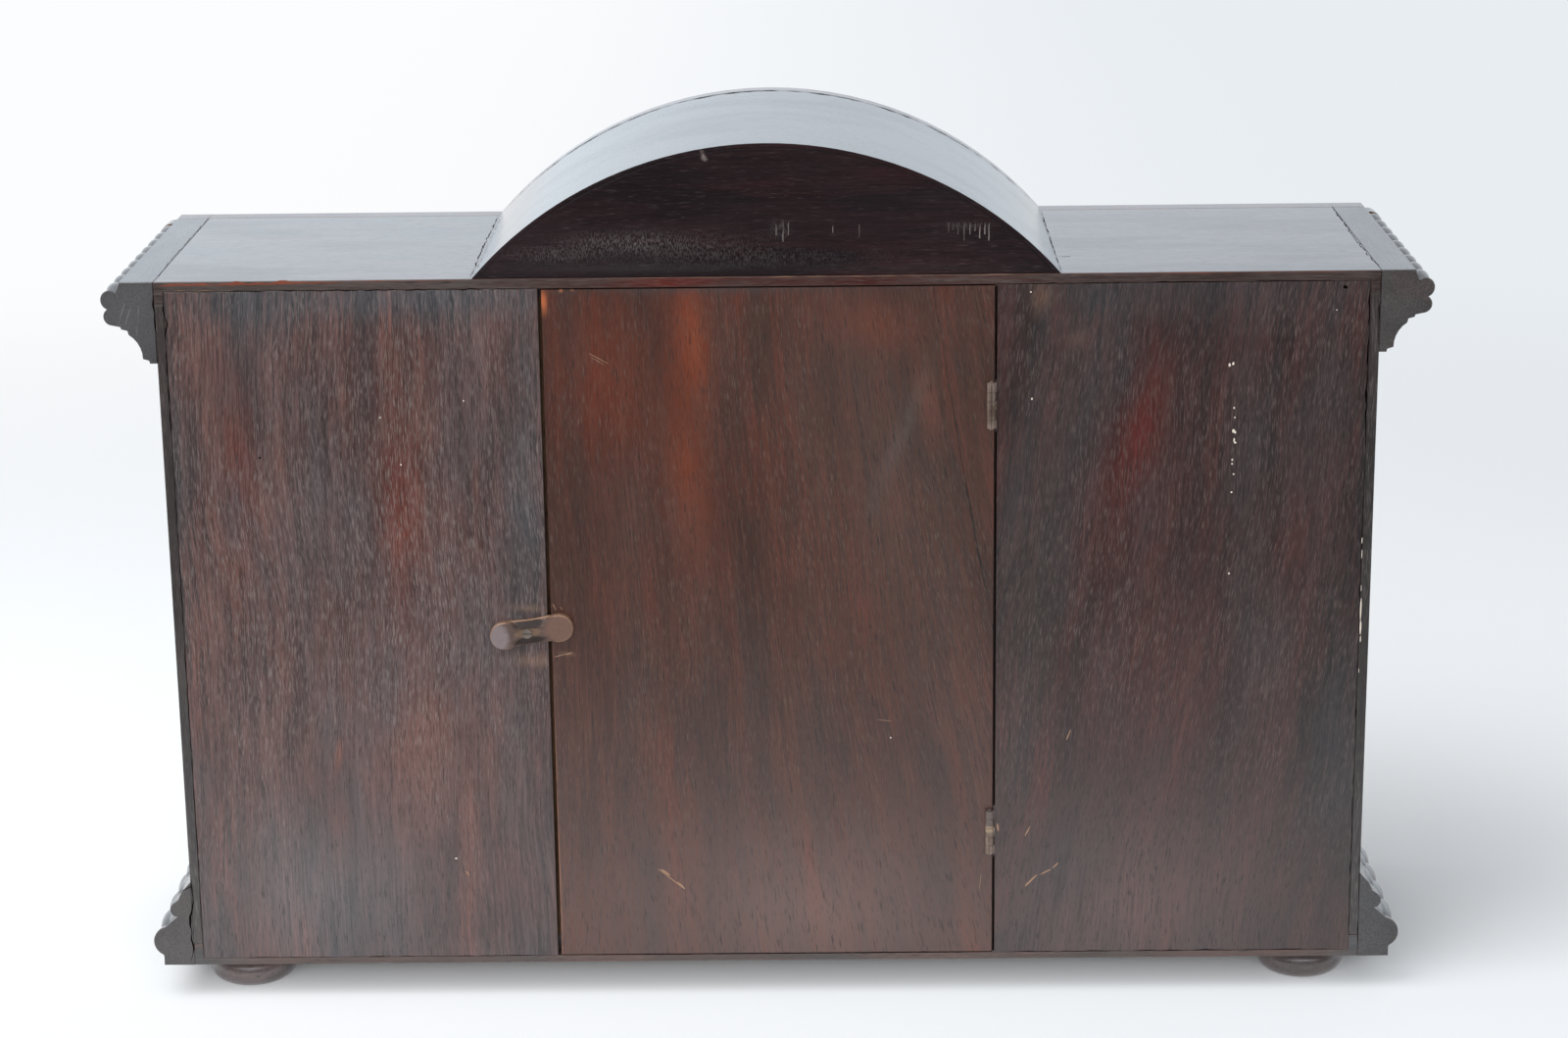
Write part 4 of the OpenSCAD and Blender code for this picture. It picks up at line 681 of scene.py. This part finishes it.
# Lines on the back (x, z) and on the flat top (x, y) in Mm, the axis each is wide along, its width and raggedness
lines = {
    "backCracksAndGapShade": [
        ([(260.1, 327.4), (259.7, 317.8), (259.5, 298.2), (259.7, 292.8)], "X", 0.9, 0.6),
        ([(255.4, 324.3), (255.9, 315.7), (254.6, 310.1), (255.8, 303.7), (255.7, 262)], "X", 0.8, 0.3),
        ([(255.7, 262), (255.6, 70), (256.2, 20)], "X", 0.4, 0.3),
        ([(259.2, 57), (258.9, 45.8), (260.4, 39.2), (260.7, 29.2), (259.7, 24.2), (262, 17.5)], "X", 1.0, 0.4),
        ([(264.6, 51.4), (259.7, 53.4)], "Z", 0.5, 0.3),
        ([(-259.8, 327.4), (-259.6, 305), (-259.7, 293)], "X", 0.5, 0.3),
        ([(-255.4, 324.5), (-255.5, 317), (-255.6, 250)], "X", 0.9, 0.2),
        ([(-255.6, 250), (-255.7, 20)], "X", 0.4, 0.2), ([(-259.5, 70), (-260.2, 17.2)], "X", 0.4, 0.15),
        ([(254, 323.5), (98, 323.4)], "Z", 0.5, 0.5), ([(-98, 323.5), (-254, 323.6)], "Z", 0.45, 0.3),
        # The three straight strips at x -97.9 lie over the door's gap on the hinge side: painted shade in the gap
        ([(255, 19.2), (98, 19.3)], "Z", 0.35, 0.2), ([(-97.9, 323.5), (-97.9, 282)], "X", 1.5, 0),
        ([(-97.9, 260), (-97.9, 89)], "X", 1.5, 0), ([(-97.9, 66), (-97.9, 20)], "X", 1.5, 0),
        ([(94, 19.3), (-94, 19.2)], "Z", 0.5, 0.2), ([(-98, 19.2), (-254, 19.3)], "Z", 0.5, 0.2)],
    "topCracks": [
        ([(258.9, 79.8), (260.3, 40), (260.2, -72)], "X", 0.32, 0.3),
        ([(-260, 79.8), (-259.3, 44), (-259.2, 5), (-260, -70)], "X", 0.55, 0.9),
        ([(125.4, 79.8), (125.7, 33), (125.7, -9), (125.5, -62)], "X", 0.6, 0.6),
        ([(-125.2, 79.8), (-125.2, -23), (-125.3, -62)], "X", 0.55, 0.4),
        ([(-125.5, 45.7), (-131, 44.9)], "Y", 0.5, 0.2)],
    # Red and pale ribbons along the top board's back edge: raw wood at the worn edge and a painted highlight where the
    # upper edge catches the light
    "redEdgesAndGlints": [([(258, 326.3), (220, 326.4), (179, 327)], "Z", 1.8, 0.5),
                 ([(179, 327.3), (127, 327.4)], "Z", 0.3, 0.1), ([(-128, 327.3), (-255, 327.4)], "Z", 0.28, 0.1)],
    "paleEdgesAndGlints": [([(67, 327.7), (-7, 327.6), (-124, 327.7)], "Z", 0.22, 0.1),
                  ([(252, 324.1), (226, 324)], "Z", 0.25, 0.5)],
    "sawMarks": [([(275.6, 309.5), (272, 319)], "X", 0.5, 0.1), ([(272.5, 309), (269.2, 319.5)], "X", 0.6, 0.1),
                 ([(268, 304.5), (266.2, 318)], "X", 0.5, 0.1)]
    + [([(x, top), (x, low)], "X", 0.42, 0.15) for x, top, low in sawTicks],
}


# Thin strips laid along lines; one without raggedness keeps its width, the others swell and taper
def laidStrips(name, material, strips):
    bm = bmesh.new()
    for points, wideAxis, wideMm, wildMm in strips:
        across = Vector([float(wideAxis == axis) for axis in "XYZ"]) * mm
        path = [Vector(point) * mm for point in points]
        spots = path[:1]
        for start, end in zip(path, path[1:]):
            steps = max(1, round((end - start).length / (1.2 * mm)))
            spots += [start.lerp(end, (step + 1) / steps) for step in range(steps)]
        last = bmesh.ops.create_vert(bm, co=spots[0])["vert"][0]
        widths, chain = {last: 0.1 * wideMm}, []
        for step, spot in enumerate(spots[1:], 1):
            grown = bmesh.ops.extrude_vert_indiv(bm, verts=[last])
            last = grown["verts"][0]
            last.co = spot + across * wildMm * noise.noise(spot * 300)
            taper = min(1.0, 8 * step / len(spots), 8 * (1 - step / len(spots))) if wildMm else 1.0
            uneven = 0.9 * noise.noise(spot * 180 + Vector((7, 3, 5))) if wildMm else 0.0
            widths[last] = wideMm * taper * max(0.15, 0.55 + uneven)
            chain += grown["edges"]
        grown = bmesh.ops.extrude_edge_only(bm, edges=chain)["geom"]
        for v in vertsIn(grown):
            source = next(e.other_vert(v) for e in v.link_edges if e.other_vert(v) in widths)
            v.co += across * widths[source]
    turnFaces(bm, Vector((0, 1, 1)))
    finishPiece(bm, name, material, "case")


def onBack(group):
    return [([(x, caseBackY / mm + 0.04, z) for x, z in points], *rest) for points, *rest in lines[group]]


# The crest's seam follows its arc, over the joint between the bent sheet and the facade
def crestSeam():
    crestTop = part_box("arch_skin")[1]
    half, rise = crestTop.x / mm, (crestTop.z - caseTopZ) / mm
    radius = (half * half + rise * rise) / (2 * rise)
    reach = math.asin(half / radius)
    turns = [reach * step / 40 for step in range(-40, 41)]
    arc = [
        ((radius + 0.15) * math.sin(turn), facadeBackY / mm - 0.2,
         crestTop.z / mm - radius + (radius + 0.15) * math.cos(turn))
        for turn in turns]
    return arc, "Y", 2.0, 0.3


onTop = [([(x, y, caseTopZ / mm + 0.04) for x, y in points], *rest) for points, *rest in lines["topCracks"]]
laidStrips("jointCracksAndGapShade", darkHole, onBack("backCracksAndGapShade") + onTop + [crestSeam()])
laidStrips("redWornEdgesAndGlints", rawEdgeAndGlint, onBack("redEdgesAndGlints"))
laidStrips("paleWornEdgesAndGlints", rawScratch, onBack("paleEdgesAndGlints"))
laidStrips("sawMarks", scuffedWax, onBack("sawMarks"))
random.seed(11)
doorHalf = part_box("back_door")[1].x / mm
for body, slot in (("case", "back_panel_wood"), ("back_door", "door_wood")):
    inDoor = body == "back_door"
    flecks = [(*fleck, 0.0) for fleck in marks["flecks"] if (abs(fleck[0]) < doorHalf) == inDoor]
    cuts = [((x0 + x1) / 2, (z0 + z1) / 2, math.hypot(x1 - x0, z1 - z0) / 2, wide / 2, -math.atan2(z1 - z0, x1 - x0))
            for x0, z0, x1, z1, wide in marks["scratches"] if (abs(x0) < doorHalf) == inDoor]
    finishPiece(flatMarks(flecks, 0.08), "paintFlecks_" + body, paleFleck, body)
    finishPiece(flatMarks(cuts, 0.05), "scratches_" + body, rawScratch, body)
holes = [(x, z, radius, radius, 0.0) for x, z, radius in marks["holes"]]
finishPiece(flatMarks(holes, 0.05), "nailHoles", darkHole, "case")
print("marks laid")


# Dial numbers and minute track, printed on the dial

dial = {"numberRadiusMm": 68, "numberMm": 15.5, "typeScale": 1.35, "narrow": 0.86, "boldMm": 0.12,
        "trackMm": (80.5, 84.5), "hourMm": (1.5, 1.0), "minuteMm": (0.5, 0.0), "lineMm": 0.35, "inkMm": 0.06}


def inkRing(bm, radiusMm):
    y = dialFaceY - dial["inkMm"] * mm
    inner = bmesh.ops.create_circle(bm, cap_ends=False, segments=120, radius=radiusMm * mm)["verts"]
    loops = list({e for v in inner for e in v.link_edges})
    grown = bmesh.ops.extrude_edge_only(bm, edges=loops)["geom"]
    outer = vertsIn(grown)
    bmesh.ops.scale(bm, vec=(1 + dial["lineMm"] / radiusMm,) * 3, verts=outer)
    bmesh.ops.transform(
        bm, verts=inner + outer,
        matrix=Matrix.Translation((dialCentre.x, y, dialCentre.z)) @ Matrix.Rotation(math.pi / 2, 4, "X"))


def minuteTrack():
    bm = bmesh.new()
    for radiusMm in dial["trackMm"]:
        inkRing(bm, radiusMm)
    low, high = dial["trackMm"]
    centre = Matrix.Translation((dialCentre.x, dialFaceY - dial["inkMm"] * mm, dialCentre.z))
    out = Matrix.Translation((0, 0, (low + high) / 2 * mm))
    for minute in range(60):
        wide, reach = dial["hourMm"] if minute % 5 == 0 else dial["minuteMm"]
        made = bmesh.ops.create_grid(bm, x_segments=1, y_segments=1, size=0.5)["verts"]
        turned = centre @ Matrix.Rotation(math.radians(minute * 6), 4, "Y")
        sized = turned @ out @ Matrix.Diagonal((wide * mm, 1, (high - low + 2 * reach) * mm, 1))
        bmesh.ops.transform(bm, verts=made, matrix=sized @ Matrix.Rotation(math.pi / 2, 4, "X"))
    turnFaces(bm, Vector((0, -1, 0)))
    finishPiece(bm, "minuteTrack", inkPaint, "case")


def dialNumbers():
    bm = bmesh.new()
    for hour, word in enumerate(["XII", "I", "II", "III", "IIII", "V", "VI", "VII", "VIII", "IX", "X", "XI"]):
        curve = bpy.data.curves.new("numberText", "FONT")
        curve.body = word
        curve.size = dial["numberMm"] * mm * dial["typeScale"]
        curve.align_x = "CENTER"
        curve.align_y = "CENTER"
        curve.offset = dial["boldMm"] * mm
        curve.extrude = 0.5 * dial["inkMm"] * mm
        text = bpy.data.objects.new("numberText", curve)
        scene.collection.objects.link(text)
        mesh = bpy.data.meshes.new_from_object(text.evaluated_get(bpy.context.evaluated_depsgraph_get()))
        angle = math.radians(hour * 30)
        mesh.transform(Matrix.Translation((dialCentre.x, dialFaceY - 0.6 * dial["inkMm"] * mm, dialCentre.z))
                       @ Matrix.Rotation(angle, 4, "Y") @ Matrix.Translation((0, 0, dial["numberRadiusMm"] * mm))
                       @ Matrix.Rotation(math.pi / 2, 4, "X") @ Matrix.Diagonal((dial["narrow"], 1, 1, 1)))
        bm.from_mesh(mesh)
        bpy.data.objects.remove(text)
        bpy.data.meshes.remove(mesh)
    finishPiece(bm, "dialNumbers", inkPaint, "case")


minuteTrack()
dialNumbers()
softenedCopy("hour_hand", "hourHand", 0.15, bluedSteel, "hour_hand", "blued_steel")
softenedCopy("minute_hand", "minuteHand", 0.15, bluedSteel, "minute_hand", "blued_steel")
print("dial printed")


# CAD nodes whose shape is right keep it, and get the material of the real piece

nodeFinish = {
    innerWood: ["left_door_post", "right_door_post"],
    hingeBrass: ["hinge_pins", "hinge_frame_screws", "hinge_door_screws"],
    screwIron: ["turn_button_screw"],
    dialPaint: ["dial_plate"],
    gildedBrass: ["dial_screws", "bezel_seat", "bezel_ring", "bezel_hinge_pin", "hand_nut", "pendulum_bob"],
    plateBrass: ["front_plate", "back_plate", "plate_pillars", "movement_posts", "back_cock", "pendulum_rod",
                 "rating_nut", "winding_key", "going_barrel", "barrel_cap"],
    wheelBrass: ["minute_wheel", "hour_wheel", "second_wheel", "centre_wheel", "third_wheel", "escape_wheel"],
    groundSteel: ["cannon_pinion", "barrel_arbor", "ratchet_wheel", "click", "click_spring", "mainspring", "anchor",
                  "suspension_spring"],
    bluedSteel: ["plate_screws", "movement_screws"],
    glass: ["bezel_glass"],
}
for material, nodes in nodeFinish.items():
    for node in nodes:
        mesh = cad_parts[node].data
        mesh.materials.clear()
        mesh.materials.append(material)
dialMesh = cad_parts["dial_plate"].data
dialMesh.materials.append(groundSteel)
for face in dialMesh.polygons:
    face.material_index = int(face.normal.y > 0.5)
print("CAD nodes finished")


# Studio: pale paper floor, white room with a dim side behind the camera, four soft lamps

studio = {
    "floorHalf": 9.0, "floor": "#f3f5f7", "room": "#fcfdff", "sky": "#ecf6ff", "roomLight": 0.42, "fade": (0.55, 1.7),
    "paintedGlowNearCase": (0.03, 0.1, 0.65), "paintedShadeRight": "#e8edf1",
    "behind": (0.25, 0.7, 0.12), "window": [(0.34, 0.42), (0.72, 0.62)], "windowGlow": 3.0, "farHalf": (-0.2, 0.4),
    "sides": (0.25, -0.25, 1.2, 0.9), "dimSide": (-0.2, -0.5, 0.0, 0.3), "paperSides": (0.6, -0.6),
    "lamps": [("keyLamp", (0.95, 0.7, 1.9), (0, 0.1, 0.1), 1.7, 1.5, 34),
              ("frontLamp", (0, -2.7, 1.25), (0, 0, 0.3), 3.4, 1.9, 13),
              ("backLamp", (0.2, 1.9, 0.5), (0, 0, 0.0), 2.4, 0.8, 22),
              ("topLamp", (-0.2, 0.3, 2.4), (-0.1, 0.1, 0), 2.6, 2.2, 12)],
}


def buildStudio():
    bm = bmesh.new()
    bmesh.ops.create_grid(bm, x_segments=1, y_segments=1, size=studio["floorHalf"])
    mesh = bpy.data.meshes.new("paperFloor")
    bm.to_mesh(mesh)
    bm.free()
    floor = bpy.data.objects.new("paperFloor", mesh)
    scene.collection.objects.link(floor)
    material, add, place = emptyMaterial("whitePaperFloor")
    axes = add("SeparateXYZ", {0: place})
    reach = add("VectorMath", {0: place}, operation="LENGTH")["Value"]
    near, distant = studio["fade"]
    # Painted light: on the camera side, from just behind the back edge on, the paper partly glows, which lifts its
    # shadows there
    start, end, most = studio["paintedGlowNearCase"]
    paintedGlowShare = add("MapRange", {"Value": axes["Y"]}, {1: start, 2: end, 4: most}, **smooth)[0]
    far = add("MapRange", {"Value": reach, 3: paintedGlowShare}, {1: near, 2: distant}, **smooth)[0]
    paper = add("BsdfPrincipled", None, {"Base Color": studio["floor"], "Roughness": 0.9, "Specular IOR Level": 0.1})
    # Painted shade: the glowing paper turns greyer towards -X, the side away from the key lamp
    sideways = add("MapRange", {"Value": axes["X"]}, dict(enumerate(studio["paperSides"], 1)), **smooth)[0]
    shade = add("Mix", {0: sideways}, {6: studio["room"], 7: studio["paintedShadeRight"]}, data_type="RGBA")[2]
    glow = add("Emission", {"Color": shade})
    mixed = add("MixShader", {0: far, 1: paper[0], 2: glow[0]})
    # The paper ends behind the camera, so polished faces turned that way mirror a dim room
    start, end, dim = studio["behind"]
    past = add("MapRange", {"Value": axes["Y"]}, {1: start, 2: end}, **smooth)[0]
    path = add("LightPath")
    bounced = add("Math", {0: path["Is Glossy Ray"], 1: path["Is Diffuse Ray"]}, operation="ADD")[0]
    mirrored = add("Math", {0: bounced, 1: past}, **times)[0]
    dimmed = add("Emission", None, {"Color": studio["room"], "Strength": dim})
    whole = add("MixShader", {0: mirrored, 1: mixed[0], 2: dimmed[0]})
    add("OutputMaterial", {"Surface": whole[0]})
    mesh.materials.append(material)

    world = bpy.data.worlds.new("whiteRoom")
    scene.world = world
    world.use_nodes = True
    world.node_tree.nodes.clear()
    add = partial(addNode, world.node_tree)
    path = add("LightPath")
    seen = path["Is Camera Ray"]
    for kind in ("Is Glossy Ray", "Is Transmission Ray"):
        seen = add("Math", {0: seen, 1: path[kind]}, operation="MAXIMUM")[0]
    room = add("Background", None, {"Color": "#f4f7fb", "Strength": studio["roomLight"]})
    way = add("SeparateXYZ", {0: add("TexCoord")["Generated"]})
    back = add("MapRange", {"Value": way["Y"]}, dict(enumerate(studio["farHalf"], 1)), **smooth)[0]
    window = back
    for start, end in studio["window"]:
        side = add("MapRange", {"Value": way["Z"]}, {1: start, 2: end}, **smooth)[0]
        window = add("Math", {0: window, 1: side}, **times)[0]
    mirrored = add("Math", {0: back, 1: path["Is Glossy Ray"]}, **times)[0]
    sideways = add("MapRange", {"Value": way["X"]}, dict(enumerate(studio["sides"], 1)))[0]
    aside = add("MapRange", {"Value": way["X"]}, dict(enumerate(studio["dimSide"], 1)))
    sideways = add("Math", {0: sideways, 1: aside[0]}, operation="ADD")[0]
    strength = add("MapRange", {"Value": mirrored, 3: sideways}, {4: studio["behind"][2]})[0]
    strength = add("Math", {0: window, 2: strength}, {1: studio["windowGlow"]}, operation="MULTIPLY_ADD")[0]
    white = add("Background", {"Strength": strength}, {"Color": studio["sky"]})
    both = add("MixShader", {0: seen, 1: room[0], 2: white[0]})
    add("OutputWorld", {"Surface": both[0]})

    for name, place, aim, wide, high, power in studio["lamps"]:
        data = bpy.data.lights.new(name, "AREA")
        data.shape = "RECTANGLE"
        data.size, data.size_y, data.energy = wide, high, power
        lamp = bpy.data.objects.new(name, data)
        lamp.location = place
        lamp.rotation_euler = (Vector(aim) - Vector(place)).to_track_quat("-Z", "Y").to_euler()
        lamp.visible_camera = False
        lamp.visible_glossy = name == "keyLamp"
        scene.collection.objects.link(lamp)


buildStudio()
print("studio lit")
